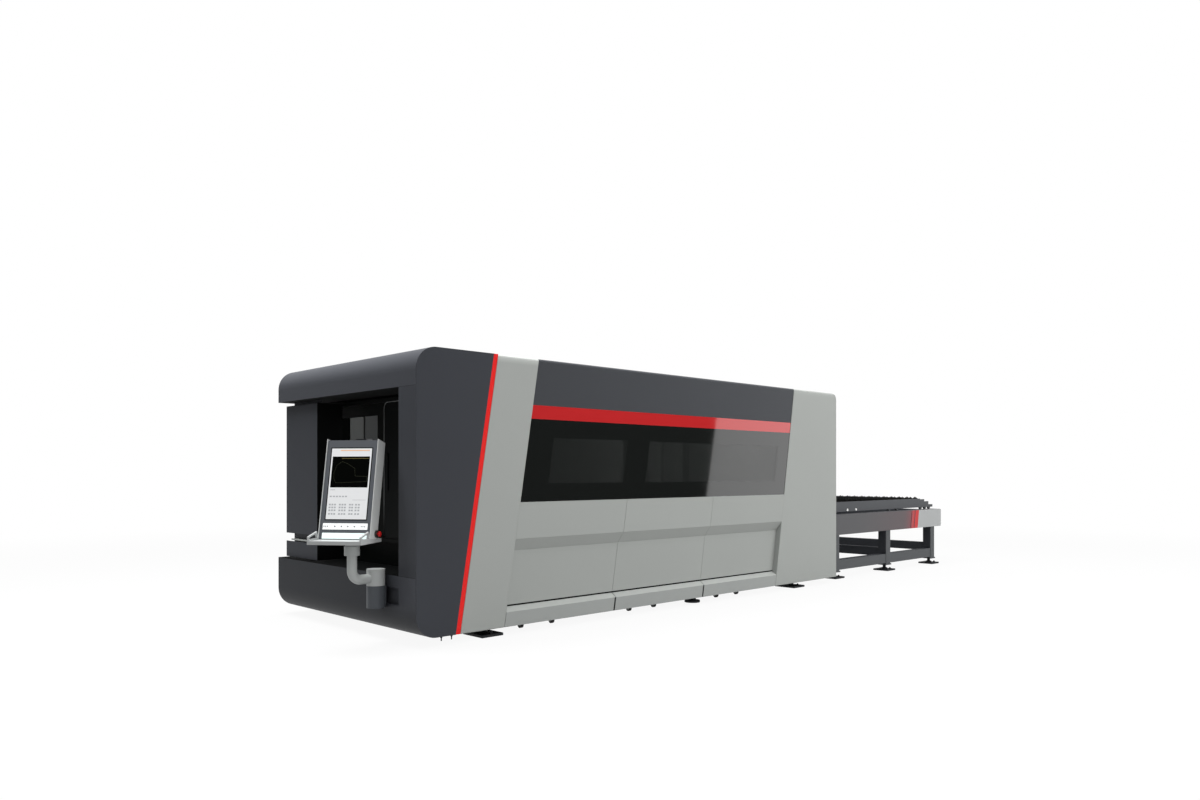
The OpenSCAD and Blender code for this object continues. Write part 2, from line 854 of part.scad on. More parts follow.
// Trucks that carry the beam on the long rails.
module gantry_trucks() {
  color([0.52, 0.53, 0.53]) at() both_sides() difference() {
    box(gantry_x - truck_l, gantry_x + truck_l, truck_y0, truck_y1,
      bed_top + 8, gantry_z);
    box(gantry_x - truck_l - 1, gantry_x + truck_l + 1, rail_y - rail_w / 2 - rail_play,
      rail_y + rail_w / 2 + rail_play, bed_top, bed_top + rail_h + rail_play);
  }
}

// Drive units of the long axis, over the racks.
module x_drives() {
  color([0.10, 0.105, 0.11]) at() both_sides() {
    box(gantry_x - drive_l / 2, gantry_x + drive_l / 2, truck_y1, truck_y1 + drive_w,
      drive_z, drive_z + drive_h);
    translate([gantry_x, truck_y1 + drive_w / 2 + 1, drive_z + drive_h])
      cylinder(h = motor_h, r = drive_w / 2 - 1);
  }
}

// Two rails for the carriage on the beam's front face.
module y_rails() {
  z0 = gantry_z + cross_rail_in;
  z1 = gantry_z + gantry_h - cross_rail_in - cross_rail_h;
  color([0.66, 0.67, 0.68]) at() for (z = [z0, z1])
    box(beam_x - cross_rail_t, beam_x, bed_in - 90, body_w - bed_in + 90, z, z + cross_rail_h);
}

// Carriage that runs across on the beam's rails.
module y_carriage() {
  color([0.70, 0.71, 0.71]) at()
    box(carriage_x - slide_t, carriage_x, carriage_y - carriage_w / 2, carriage_y + carriage_w / 2,
      gantry_z + 20, gantry_z + gantry_h + 40);
}

// Upright slide of the cutting head.
module z_slide() {
  color([0.55, 0.56, 0.57]) at()
    box(slide_x - slide_t, slide_x, carriage_y - 90, carriage_y + 90, gantry_z + 60, gantry_z + 480);
}

// Cutting head: collimator, body and nozzle on one axis.
module cutting_head() {
  x1 = slide_x - slide_t;
  color([0.80, 0.80, 0.80]) at() {
    box(x1 - 40, x1, carriage_y - 40, carriage_y + 40, nozzle_z + 160, nozzle_z + 260);
    translate([head_x, carriage_y, nozzle_z]) {
      cylinder(h = 50, r1 = 5, r2 = 20);
      translate([0, 0, 50]) cylinder(h = 70, r = 24);
      translate([0, 0, 120]) cylinder(h = 260, r = head_r);
      translate([0, 0, 380]) cylinder(h = 90, r = 20);
    }
  }
}

// Fixed post of the operator panel's arm, bolted to the apron.
module arm_post() {
  color([0.28, 0.29, 0.31]) at() {
    translate([-arm_x, arm_y, arm_z]) cylinder(h = arm_post_h, d = arm_d);
    box(-arm_x, 0, arm_y - 26, arm_y + 50, arm_z + 10, arm_z + arm_post_h - 6);
  }
}

// Turning arm: hub, straight tube, bend and riser.
module arm_tube() {
  color([0.59, 0.60, 0.60]) at() translate([-arm_x, arm_y, 0]) rotate([0, 0, arm_yaw]) {
    translate([0, 0, hub_z + 0.3]) cylinder(h = hub_h - 0.3, d = arm_d);
    translate([0, 0, tube_z]) rotate([0, -90, 0]) cylinder(h = arm_l - bend_r, d = tube_d);
    translate([bend_r - arm_l, 0, tube_z + bend_r]) rotate([0, 90, 0]) rotate([-90, 0, 0])
      rotate_extrude(angle = 90) translate([bend_r, 0]) circle(d = tube_d);
    translate([-arm_l, 0, tube_z + bend_r])
      cylinder(h = coupling_z - tube_z - bend_r - 0.3, d = tube_d);
  }
}

// Moves a piece drawn around the panel's own axis into place.
module on_panel() {
  at() translate([axis_x, axis_y, 0]) rotate([0, 0, hmi_yaw]) children();
}

// Moves a piece drawn on the panel's flat front into its tilted place.
module on_front() {
  translate([-hmi_front, 0, hmi_low]) rotate([0, hmi_tilt, 0]) children();
}

// Coupling between the arm and the panel's tray.
module hmi_coupling() {
  color([0.59, 0.60, 0.60]) on_panel() translate([0, 0, coupling_z]) {
    cylinder(h = tray_z - coupling_z - 30, d = coupling_d);
    cylinder(h = tray_z - coupling_z, d = coupling_d - 16);
  }
}

// Dark panel body with pockets for the screen and the key strips.
module hmi_housing() {
  w = hmi_w / 2 - plate_t;
  color([0.27, 0.275, 0.29]) on_panel() difference() {
    on_front() difference() {
      box(0, hmi_d, -w, w, -60, hmi_len);
      box(-1, 5, -screen_w / 2, screen_w / 2, screen_s, screen_s + screen_h);
      box(-1, 5, -screen_w / 2 - 16, screen_w / 2 + 16, key_s, key_s + key_h);
      box(-1, 5, -screen_w / 2 - 16, screen_w / 2 + 16, pad_s, pad_s + pad_h);
    }
    box(-600, 600, -600, 600, 0, tray_top);
  }
}

// Light side plates of the panel.
module hmi_side_plates() {
  w = hmi_w / 2;
  color([0.62, 0.63, 0.62]) on_panel() difference() {
    on_front() for (y = [-w, w - plate_t])
      box(-4, hmi_d + 2, y, y + plate_t, -60, hmi_len + 8);
    box(-600, 600, -600, 600, 0, tray_top);
  }
}

// Portrait screen.
module hmi_screen() {
  color([0.92, 0.93, 0.94]) on_panel() on_front()
    box(-1, 5, -screen_w / 2, screen_w / 2, screen_s, screen_s + screen_h);
}

// Flat key strip and pointing strip under the screen.
module hmi_key_strips() {
  w = screen_w / 2 + 16;
  color([0.90, 0.91, 0.92]) on_panel() on_front() {
    box(-1, 5, -w, w, key_s, key_s + key_h);
    box(-1, 5, -w, w, pad_s, pad_s + pad_h);
  }
}

// Tray under the panel with a bent handle bracket at each end.
module hmi_tray() {
  w = hmi_w / 2 + 2;
  color([0.62, 0.63, 0.62]) on_panel() {
    box(-tray_f, tray_b, -w, w, tray_z, tray_top);
    for (y = [-w, w - 12]) xz(y, y + 12) difference() {
      polygon([[-tray_f, tray_top], [-tray_f + 4, tray_top + 30],
        [-tray_f + 130, tray_top + 60], [-tray_f + 146, tray_top]]);
      polygon([[-tray_f + 14, tray_top + 12], [-tray_f + 16, tray_top + 22],
        [-tray_f + 118, tray_top + 45], [-tray_f + 128, tray_top + 12]]);
    }
  }
}

// Collar of the emergency stop on the near side plate.
module estop_base() {
  color([0.18, 0.175, 0.17]) on_panel()
    translate([-35, -hmi_w / 2, tray_top + 36]) rotate([90, 0, 0]) difference() {
      cylinder(h = 12, d = estop_d + 8);
      translate([0, 0, -1]) cylinder(h = 14, d = 22 + 2 * rail_play);
    }
}

// Emergency stop: mushroom head on a stem.
module estop_button() {
  color([0.75, 0.10, 0.10]) on_panel()
    translate([-35, -hmi_w / 2, tray_top + 36]) rotate([90, 0, 0]) {
      translate([0, 0, estop_travel + 1]) cylinder(h = 12, d = 22);
      translate([0, 0, 12 + estop_travel + 0.5]) cylinder(h = 14, d = estop_d);
      translate([0, 0, 26 + estop_travel + 0.5])
        cylinder(h = 5, d1 = estop_d, d2 = estop_d - 12);
    }
}

// One scrap cart: leaning front with a sloped lip, open bin, wheel forks and rear skids.
module scrap_cart(k) {
  x0 = cart_x0(k);
  x1 = cart_x1(k);
  xm = (x0 + x1) / 2 - wheel_shift[k];
  b0 = x0 + bin_in;
  b1 = x1 - bin_in;
  axle_z = wheel_d / 2 + floor_play - floor_gap;
  color([0.58, 0.59, 0.585]) at() {
    intersection() {
      yz(x0 - 50, x1 + 80) polygon([[0, 0], [0, skirt_h], [tuck, lip_z],
        [tuck, lip_z - 13], [skirt_t, skirt_h - 8], [skirt_t, 0]]);
      xz(-1, tuck + 1) leaning(x0, x1, 0, body_h);
    }
    difference() {
      box(b0, b1, skirt_t, bin_d, 0, rim_z);
      box(b0 + bin_t, b1 - bin_t, skirt_t + bin_t, bin_d - bin_t, bin_t, skirt_h);
    }
    for (s = [-1, 1]) translate([xm + s * wheel_gap / 2, wheel_y, 0]) {
      for (e = [-1, 1]) translate([e * (wheel_w / 2 + 4.5) - 3, -14, axle_z - 9])
        cube([6, 28, -axle_z + 9]);
      translate([-wheel_w / 2 - 7, 0, axle_z]) rotate([0, 90, 0])
        cylinder(h = wheel_w + 14, d = 12);
    }
    for (x = [b0 + skid_in, b1 - skid_in - skid_w])
      box(x, x + skid_w, bin_d - skid_back - skid_l, bin_d - skid_back, floor_play - floor_gap, 0);
  }
}

// The cart's pair of wheels.
module cart_wheels(k) {
  xm = side_x + (k + 0.5) * cart_pitch - wheel_shift[k];
  color([0.06, 0.06, 0.065]) at() for (s = [-1, 1])
    translate([xm + s * wheel_gap / 2 - wheel_w / 2, wheel_y,
      wheel_d / 2 + floor_play - floor_gap]) rotate([0, 90, 0]) difference() {
        cylinder(h = wheel_w, d = wheel_d);
        translate([0, 0, -1]) cylinder(h = wheel_w + 2, d = 12 + 2 * wheel_play);
      }
}

module scrap_cart_1() {
  scrap_cart(0);
}

module scrap_cart_2() {
  scrap_cart(1);
}

module scrap_cart_3() {
  scrap_cart(2);
}

module cart_wheels_1() {
  cart_wheels(0);
}

module cart_wheels_2() {
  cart_wheels(1);
}

module cart_wheels_3() {
  cart_wheels(2);
}

// Side beams of the pallet changer: channels that open inwards and carry both levels.
module table_beams() {
  color([0.40, 0.395, 0.405]) at() both_sides() yz(body_l + 0.3, far_x) polygon([
    [table_y, table_z], [flange_y, table_z], [flange_y, low_run_z],
    [table_y + table_t, low_run_z], [table_y + table_t, run_z - table_t],
    [flange_y, run_z - table_t], [flange_y, run_z], [table_y, run_z]]);
}

// Light covers over the far ends of the side beams.
module table_end_caps() {
  x1 = far_x - cap_l;
  color([0.70, 0.71, 0.71]) at() both_sides() {
    xz(table_y - cap_t, table_y) intersection() {
      leaning(x1 - lean * table_top, body_l * 2, table_z, table_top);
      hull() {
        translate([x1 - 100, table_z]) square([100, table_h]);
        for (z = [table_z + cap_r, table_top - cap_r])
          translate([far_x + cap_t - cap_r, z]) circle(cap_r);
      }
    }
    box(far_x, far_x + cap_t, table_y, flange_y, table_z + cap_r, table_top - cap_r);
  }
}

// Bright leaning stripes in front of the end covers.
module table_stripes() {
  x1 = far_x - cap_l - lean * table_top;
  color([0.75, 0.12, 0.13]) at() both_sides() xz(table_y - cap_t, table_y)
    leaning(x1 - flash_w, x1 - 0.2, table_z, table_top);
}

// Square legs of the pallet changer.
module table_legs() {
  color([0.37, 0.38, 0.385]) at() both_sides() for (k = [0:2]) {
    x = body_l + table_leg_x + k * table_pitch;
    box(x - table_leg / 2, x + table_leg / 2, table_y + 5, table_y + 5 + table_leg,
      table_leg_z, table_z);
  }
}

// Lower rails between the legs, cross members and the end stop beam.
module table_braces() {
  y1 = table_y + 5 + table_leg;
  color([0.34, 0.35, 0.355]) at() {
    both_sides() for (k = [0:1]) {
      x = body_l + table_leg_x + k * table_pitch + table_leg / 2;
      box(x, x + table_pitch - table_leg, table_y + 10, y1 - 5, brace_z, brace_z + brace_h);
    }
    for (k = [0:2]) {
      x = body_l + table_leg_x + k * table_pitch;
      box(x - 40, x + 40, y1, body_w - y1, table_cross_z, table_cross_z + table_cross_h);
    }
    box(far_x - stop_t, far_x, table_y + table_t, body_w - table_y - table_t, low_run_z,
      run_z - table_t);
  }
}

// Anchor plates of the pallet changer, with one bolt hole and one jack screw each.
module table_feet() {
  color([0.13, 0.14, 0.15]) at() both_sides() for (k = [0:2]) {
    x = body_l + table_leg_x + k * table_pitch;
    y = table_y + 5 + table_leg / 2;
    difference() {
      box(x - foot_x / 2, x + foot_x / 2, y - foot_x / 2, y + foot_x / 2,
        -floor_gap, foot_top);
      translate([x, y - foot_x / 2 + 22, -floor_gap - 1])
        cylinder(h = foot_t + 2, d = anchor_d);
    }
    translate([x, y, 0]) jack(foot_top, table_leg_z);
  }
}

// Frame of a pallet: side rails with wheels, end rails and cross ribs.
module pallet_frame(x0, y0, z0, out) {
  wheel_z = z0 - pallet_up + pallet_wheel / 2 + 0.3;
  yw = out ? y0 - pallet_wheel_w : y0 + pallet_t;
  yi = y0 + pallet_t;
  x1 = x0 + pallet_l;
  top = z0 + pallet_h;
  both_sides() {
    box(x0, x1 - 3 * step_l, y0, yi, z0, top);
    for (i = [0:2])
      box(x1 - (3 - i) * step_l, x1 - (2 - i) * step_l, y0, yi, z0, top - step_drop[i]);
    for (x = concat([for (w = wheel_at) x0 + w], [for (i = [0:2]) x1 - (i + 0.6) * step_l]))
      translate([x, yw, wheel_z]) rotate([-90, 0, 0]) cylinder(h = pallet_wheel_w, d = pallet_wheel);
  }
  box(x0, x0 + pallet_t, yi + 0.2, body_w - yi - 0.2, z0 + 6, top - 6);
  box(x1 - pallet_t, x1, yi + 0.2, body_w - yi - 0.2, z0 + 6, top - step_drop[2]);
  for (f = [0.22, 0.45, 0.68, 0.9])
    box(x0 + f * pallet_l - 30, x0 + f * pallet_l + 30, yi + 0.2, body_w - yi - 0.2,
      top - slat_in - 40, top - slat_in);
}

// Row of toothed slats across a pallet.
module pallet_slats(x0, y0, z0) {
  y1 = y0 + pallet_t + 0.3;
  w = body_w - 2 * y1;
  tip = z0 + pallet_h + slat_up;
  low = z0 + pallet_h - slat_in;
  p = w / tooth_n;
  pitch = (pallet_l - 3 * step_l - slat_edge - 2 * slat_t) / (slat_n - 1);
  for (i = [0:slat_n - 1])
    yz(x0 + slat_edge + i * pitch, x0 + slat_edge + i * pitch + slat_t)
      polygon(concat([[y1, low], [body_w - y1, low]],
        [for (j = [tooth_n:-1:0]) each [[y1 + j * p, tip - tooth_h],
          if (j > 0) [y1 + (j - 0.5) * p, tip]]]));
}

// Pallet that stands on the table's upper level.
module upper_pallet_frame() {
  color([0.37, 0.385, 0.39]) at() pallet_frame(pallet_x, up_y, run_z + pallet_up, false);
}

module upper_pallet_slats() {
  color([0.30, 0.31, 0.31]) at() pallet_slats(pallet_x, up_y, run_z + pallet_up);
}

// Pallet that waits inside the cabin on the lower level.
module lower_pallet_frame() {
  color([0.37, 0.385, 0.39]) at()
    pallet_frame(low_pallet_x, low_y, low_run_z + pallet_up, true);
}

module lower_pallet_slats() {
  color([0.30, 0.31, 0.31]) at()
    pallet_slats(low_pallet_x, low_y, low_run_z + pallet_up);
}

bed_beams();
bed_supports();
machine_feet();
x_rails();
x_racks();
pallet_guide_rails();
cabin_frame();
nose_hood();
nose_cheek();
nose_apron();
front_wall();
front_covers();
front_cover_rail();
door_tracks();
front_door();
red_edge_strips();
front_bands();
side_header();
window_stripe();
window_surround();
view_panes();
upper_panels();
lower_panels();
rear_bands();
rear_wall();
roof_panels();
far_wall();
gantry_beam();
gantry_trucks();
x_drives();
y_rails();
y_carriage();
z_slide();
cutting_head();
arm_post();
arm_tube();
hmi_coupling();
hmi_housing();
hmi_side_plates();
hmi_screen();
hmi_key_strips();
hmi_tray();
estop_base();
estop_button();
scrap_cart_1();
scrap_cart_2();
scrap_cart_3();
cart_wheels_1();
cart_wheels_2();
cart_wheels_3();
table_beams();
table_end_caps();
table_stripes();
table_legs();
table_braces();
table_feet();
upper_pallet_frame();
upper_pallet_slats();
lower_pallet_frame();
lower_pallet_slats();
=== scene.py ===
# %% [markdown]
# # Fiber laser cutting machine
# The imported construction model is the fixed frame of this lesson: sixty named nodes in metres, with the
# floor at Z = 0, the control nose at the -X end and the windows on the -Y side. Nothing in it is moved
# or reshaped. Each node gets a finish here, and small trim is added on top of it. Places are counted from the
# lowest near corner of the nose, and the cabin's slanted edges all lean by the same share of X for each Z.

# %% Load the frame
import json
from math import atan2, cos, pi, radians, sin

import bpy
import numpy as np
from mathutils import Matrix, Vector


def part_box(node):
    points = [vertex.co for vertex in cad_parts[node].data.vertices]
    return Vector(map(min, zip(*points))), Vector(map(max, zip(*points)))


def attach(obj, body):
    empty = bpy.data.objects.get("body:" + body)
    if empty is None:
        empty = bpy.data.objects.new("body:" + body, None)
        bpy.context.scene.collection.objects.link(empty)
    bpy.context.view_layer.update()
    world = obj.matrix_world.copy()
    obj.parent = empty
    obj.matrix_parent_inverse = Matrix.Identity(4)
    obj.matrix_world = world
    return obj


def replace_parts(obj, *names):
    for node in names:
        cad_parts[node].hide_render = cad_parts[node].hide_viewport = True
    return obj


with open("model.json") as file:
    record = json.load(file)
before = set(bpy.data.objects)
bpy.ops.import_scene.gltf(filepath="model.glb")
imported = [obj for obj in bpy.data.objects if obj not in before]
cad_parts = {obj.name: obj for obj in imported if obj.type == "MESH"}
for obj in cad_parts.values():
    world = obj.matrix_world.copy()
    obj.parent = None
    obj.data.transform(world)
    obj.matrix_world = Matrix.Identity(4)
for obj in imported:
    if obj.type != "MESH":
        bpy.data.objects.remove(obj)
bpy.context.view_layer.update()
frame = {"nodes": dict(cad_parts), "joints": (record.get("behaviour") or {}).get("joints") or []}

nodes = frame["nodes"]
joints = {joint["name"]: joint for joint in frame["joints"]}
nose_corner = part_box("nose_cheek")[0]
lean = 0.167
scene = bpy.context.scene
scene.view_settings.view_transform = "Standard"

# %% [markdown]
# The view is level, from in front of the nose and beside the windows, so the uprights stay upright and a
# small vertical shift frames the machine instead of a tilt. The place is given from the lowest near
# corner of the nose, because that corner is the reference of the whole perspective.

# %% Camera
image_px, focal_px, horizon_drop_px = 1200.0, 882.0, 73.0
lens_data = bpy.data.cameras.new("camera")
lens_data.sensor_width = 36.0
lens_data.lens = lens_data.sensor_width * focal_px / image_px
lens_data.shift_y = horizon_drop_px / image_px
camera = bpy.data.objects.new("camera", lens_data)
camera.location = nose_corner + Vector((-3.406, -5.396, 1.189))
camera.rotation_euler = (radians(90), 0, radians(-44.04))
scene.collection.objects.link(camera)
scene.camera = camera
print("lens", round(lens_data.lens, 2), "mm at", [round(c, 3) for c in camera.location])

# %% [markdown]
# Shader maths reads best as plain Python. A small class wraps a socket, so that 0.4 + 0.2 * grain adds its
# own Math nodes. A second class is one finish: a Principled shader and the nodes that vary it. Colours go
# through Mix nodes, because a Math node would turn them grey.


# %% Sockets that take part in sums
class Value:
    """A shader socket in a Python expression: each operator adds one Math node."""

    def __init__(self, finish, socket):
        self.finish, self.socket = finish, socket

    def _math(self, operation, first, second):
        return self.finish.node("ShaderNodeMath", {"operation": operation}, [first, second])

    def __add__(self, other):
        return self._math("ADD", self, other)

    def __radd__(self, other):
        return self._math("ADD", other, self)

    def __sub__(self, other):
        return self._math("SUBTRACT", self, other)

    def __rsub__(self, other):
        return self._math("SUBTRACT", other, self)

    def __mul__(self, other):
        return self._math("MULTIPLY", self, other)

    def __rmul__(self, other):
        return self._math("MULTIPLY", other, self)

    def __gt__(self, other):
        return self._math("GREATER_THAN", self, other)

    def __lt__(self, other):
        return self._math("LESS_THAN", self, other)

    def __abs__(self):
        return self.finish.node("ShaderNodeMath", {"operation": "ABSOLUTE"}, [self])


# %% One finish
class Finish:
    """A material with a Principled shader. Constants are set on its sockets, fields are linked to them."""

    def __init__(self, name, constants):
        self.material = bpy.data.materials.new(name)
        self.material.use_nodes = True
        self.tree = self.material.node_tree
        self.shader = self.tree.nodes["Principled BSDF"]
        for socket, value in constants.items():
            self.shader.inputs[socket].default_value = value

    def node(self, kind, settings=None, inputs=(), out=0):
        """Adds a node, sets its settings, then gives its sockets their values or links."""
        made = self.tree.nodes.new(kind)
        for key, value in (settings or {}).items():
            setattr(made, key, value)
        for key, value in inputs.items() if isinstance(inputs, dict) else enumerate(inputs):
            if isinstance(value, Value):
                self.tree.links.new(value.socket, made.inputs[key])
            else:
                made.inputs[key].default_value = value
        return Value(self, made.outputs[out])

    def feed(self, socket, value):
        """Links a field to one of the shader's sockets."""
        self.tree.links.new(value.socket, self.shader.inputs[socket])

    def place(self, axis):
        """The X, Y or Z place of the surface in metres, from Object coordinates."""
        spot = self.node("ShaderNodeTexCoord", out="Object")
        return self.node("ShaderNodeSeparateXYZ", None, [spot], out="XYZ".index(axis))

    def noise(self, scale, detail=2.0, stretch=(1, 1, 1)):
        """Soft random field between 0 and 1, with about one lump every 1 / scale metres."""
        spot = self.node("ShaderNodeTexCoord", out="Object")
        spot = self.node("ShaderNodeMapping", None, {"Vector": spot, "Scale": stretch})
        settings = {"Vector": spot, "Scale": scale, "Detail": detail}
        return self.node("ShaderNodeTexNoise", None, settings)

    def ramp(self, value, start, end):
        """0 before start, 1 after end, and a smooth climb between them."""
        settings = {"interpolation_type": "SMOOTHSTEP"}
        return self.node("ShaderNodeMapRange", settings, {0: value, 1: start, 2: end})

    def mix(self, first, second, share):
        """First colour where share is 0, second where it is 1."""
        return self.node("ShaderNodeMix", {"data_type": "RGBA"}, {0: share, 6: first, 7: second}, out=2)

    def bump(self, height, depth, edge=0.0):
        """Normal of a field of heights of the given depth in metres, on edges rounded by edge metres."""
        inputs = {"Strength": 1.0, "Distance": depth, "Height": height}
        if edge:
            settings = {"samples": 4}
            inputs["Normal"] = self.node("ShaderNodeBevel", settings, {"Radius": edge})
        return self.node("ShaderNodeBump", None, inputs)


def tone(red, green, blue, gain=1.0):
    """Linear colour from a 0 to 255 display colour, with an optional gain."""
    shown = np.array([red, green, blue]) / 255.0
    linear = np.where(shown <= 0.04045, shown / 12.92, ((shown + 0.055) / 1.055) ** 2.4)
    return (*(gain * linear), 1.0)


finishes = {}


def dress(finish, *names):
    """Puts a finish on CAD nodes, in the one material slot of each."""
    for name in names:
        nodes[name].data.materials.clear()
        nodes[name].data.materials.append(finish.material)
        finishes[name] = finish
    print(finish.material.name, "on", len(names), "nodes")


# %% [markdown]
# Nearly all the sheet metal is powder coated. Baked powder has a fine orange peel and a satin gloss, and a
# large panel is never one exact colour. So the coat has a slow cloud in its colour, a grain of about a
# millimetre in gloss and height, and edges that catch light as a folded edge does. Noise in object coordinates
# gives all of this without an image and without unwrapping a panel.

# %% Powder coats
graphite_grey, light_grey, cart_grey, leg_grey = (59, 61, 66), (154, 157, 154), (152, 155, 153), (84, 86, 88)
peel_scale = 800.0


def clouded(finish, colour, drift=0.04):
    """A colour that drifts both ways by the given share, in a slow cloud of noise."""
    return finish.mix(tone(*colour, 1 - drift), tone(*colour, 1 + drift), finish.noise(0.9, 3.0))


def powder_coat(name, colour, gloss=0.45, specular=0.25, edge=0.004):
    """Satin baked powder: a clouded colour, and roughness gloss +- 0.08 and height from one orange peel."""
    finish = Finish(name, {"Specular IOR Level": specular})
    peel = finish.noise(peel_scale, 2.0)
    finish.feed("Base Color", clouded(finish, colour))
    finish.feed("Roughness", (gloss - 0.08) + 0.16 * peel)
    finish.feed("Normal", finish.bump(peel, 0.00012, edge))
    return finish


graphite = powder_coat("graphite_powder", graphite_grey, 0.5, 0.12)
dress(graphite, "nose_cheek", "roof_panels")
dress(powder_coat("header_powder", (62, 64, 68), 0.4, 0.25, edge=0.012), "side_header")
light = powder_coat("light_powder", light_grey)
dress(light, "upper_panels", "lower_panels", "rear_wall", "far_wall", "front_cover_rail")
dress(powder_coat("black_powder", (13, 15, 14), 0.55, 0.06), "front_wall", "door_tracks")
dress(powder_coat("door_powder", (12, 14, 14), 0.5, 0.06), "front_door")
dress(powder_coat("frame_powder", (84, 87, 89)), "bed_beams", "bed_supports", "cabin_frame")
dress(powder_coat("gantry_powder", (172, 174, 173)), "gantry_beam", "gantry_trucks")
dress(powder_coat("drive_powder", (30, 31, 33), 0.4), "x_drives")
dress(powder_coat("post_powder", (82, 86, 91)), "arm_post")
dress(powder_coat("arm_powder", (178, 181, 180), 0.4), "arm_tube", "hmi_coupling")
dress(powder_coat("panel_powder", (88, 91, 96), edge=0.003), "hmi_housing")
dress(powder_coat("panel_side_powder", (192, 194, 193), 0.4), "hmi_side_plates")
dress(powder_coat("tray_powder", (168, 170, 170), 0.4), "hmi_tray")
dress(powder_coat("cap_powder", (166, 168, 168)), "table_end_caps")

# %% [markdown]
# Some coats have two colours. The hood's underside, the apron's top and the covers' folded sides are painted
# recess black, as painted shade. The apron is painted darker than the nose's other graphite, as painted shade,
# and paler at its near end, as painted light. The carts' sloped lips are painted lighter, as painted light, the
# bands are painted paler where they turn into the roof, as a painted highlight, and the changer's legs are
# painted darker on their inner faces, as painted shade. Each of these is a place on the piece, so a mask of
# object coordinates draws it and follows the construction model's own sizes, where painted faces would have to
# be picked by hand.

# %% Coats in two colours
# Dull black that is painted on faces looking into the recess, as painted shade.
recess_shade_black = (10, 11, 11)


def repaint(finish, colour, other, mask, drift=0.04):
    """The clouded colour where the mask is 0, and the other colour where it is 1."""
    finish.feed("Base Color", finish.mix(clouded(finish, colour, drift), tone(*other), mask))


def recess_shade_coat(name, colour, shaded_part_of):
    """Graphite powder, and dull recess black as painted shade where the finish's own mask is 1."""
    gloss, dull = 0.5, 0.95
    finish = powder_coat(name, colour, gloss, 0.12)
    inside = shaded_part_of(finish)
    repaint(finish, colour, recess_shade_black, inside)
    peel = finish.noise(peel_scale, 2.0)
    finish.feed("Roughness", ((gloss - 0.08) + 0.16 * peel) * (1 - inside) + dull * inside)
    return finish


hood_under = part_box("nose_hood")[0].z + 0.002
# The hood's underside is painted recess black, as painted shade.
dress(recess_shade_coat("hood_powder", (65, 67, 72), lambda finish: finish.place("Z") < hood_under), "nose_hood")
cover_low, cover_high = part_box("front_covers")
cover_side, cover_top = cover_low.y + 0.003, cover_high.z - 0.002
# The covers' near folded sides and their tops are painted recess black, as painted shade.
covers = recess_shade_coat("cover_powder", (55, 57, 62),
                    lambda finish: (finish.place("Y") < cover_side) + (finish.place("Z") > cover_top))
dress(covers, "front_covers")
# The apron is painted darker than the nose's other graphite, as painted shade, and its top is recess black, as
# painted shade.
apron_painted_shade_grey, apron_painted_light_grey, apron_top = (42, 44, 48), (71, 73, 79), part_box("nose_apron")[1].z - 0.002
apron = recess_shade_coat("apron_powder", apron_painted_shade_grey, lambda finish: finish.place("Z") > apron_top)
# Painted light: the apron's near end is painted paler.
apron_painted_light = apron.ramp(apron.place("Y"), nose_corner.y + 0.48, nose_corner.y + 0.12)
apron_painted_light = apron_painted_light * apron.ramp(apron.place("Z"), nose_corner.z + 0.05, nose_corner.z + 0.30)
apron_front = apron.mix(tone(*apron_painted_shade_grey), tone(*apron_painted_light_grey), apron_painted_light)
apron.feed("Base Color", apron.mix(apron_front, tone(*recess_shade_black), apron.place("Z") > apron_top))
dress(apron, "nose_apron")

band = powder_coat("band_powder", light_grey, edge=0.01)
roof_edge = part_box("front_bands")[1].z
front_part = band.place("X") < 0.0
# Painted highlight: the bands are painted paler where they turn into the roof, most on the front bands.
band_painted_highlight = band.ramp(band.place("Z"), roof_edge - 0.065, roof_edge - 0.010) * (0.25 + 0.75 * front_part)
repaint(band, light_grey, (180, 183, 180), band_painted_highlight)
dress(band, "front_bands", "rear_bands")
cart = powder_coat("cart_powder", cart_grey)
skirt_top = nose_corner.z + 0.113
# Painted light: the sloped lips above the skirt are painted lighter than the skirt.
repaint(cart, cart_grey, (168, 171, 168), cart.place("Z") > skirt_top)
dress(cart, "scrap_cart_1", "scrap_cart_2", "scrap_cart_3")
leg = powder_coat("leg_powder", leg_grey, 0.5, 0.1)
leg_low, leg_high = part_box("table_legs")
# Painted shade: every face inside the legs' outer faces is painted darker.
repaint(leg, leg_grey, (58, 60, 64), abs(leg.place("Y")) < leg_high.y - 0.008)
dress(leg, "table_legs", "table_braces")

# %% [markdown]
# The window band is one long black glass with a red print along its top. Glass is smooth, so the gloss is
# tight and mirrors the studio. The panes are tinted and let a little of the dark inside show through. The
# red strips along the slanted edges have their inner faces painted dark grey, as painted shade, which is a mask
# of the width.

# %% Glass and red
def gloss_glass(name, colour, coat):
    """Polished glass over a printed ground, with faint wipe marks in its gloss."""
    finish = Finish(name, {"IOR": 1.7, "Coat Weight": coat, "Coat Roughness": 0.03})
    wipe = finish.noise(6.0, 4.0, (1, 1, 3))
    finish.feed("Base Color", finish.mix(tone(*colour, 0.97), tone(*colour, 1.03), wipe))
    finish.feed("Roughness", 0.02 + 0.04 * wipe)
    return finish


dress(gloss_glass("window_black_glass", (25, 27, 26), 1.0), "window_surround")
dress(gloss_glass("window_red_print", (188, 41, 43), 1.0), "window_stripe")
panes = gloss_glass("pane_tinted_glass", (34, 36, 35), 1.0)
panes.shader.inputs["Alpha"].default_value = 0.84
dress(panes, "view_panes")

strip_red = (222, 20, 18)
strip = powder_coat("edge_red_powder", strip_red, 0.35, 0.3)
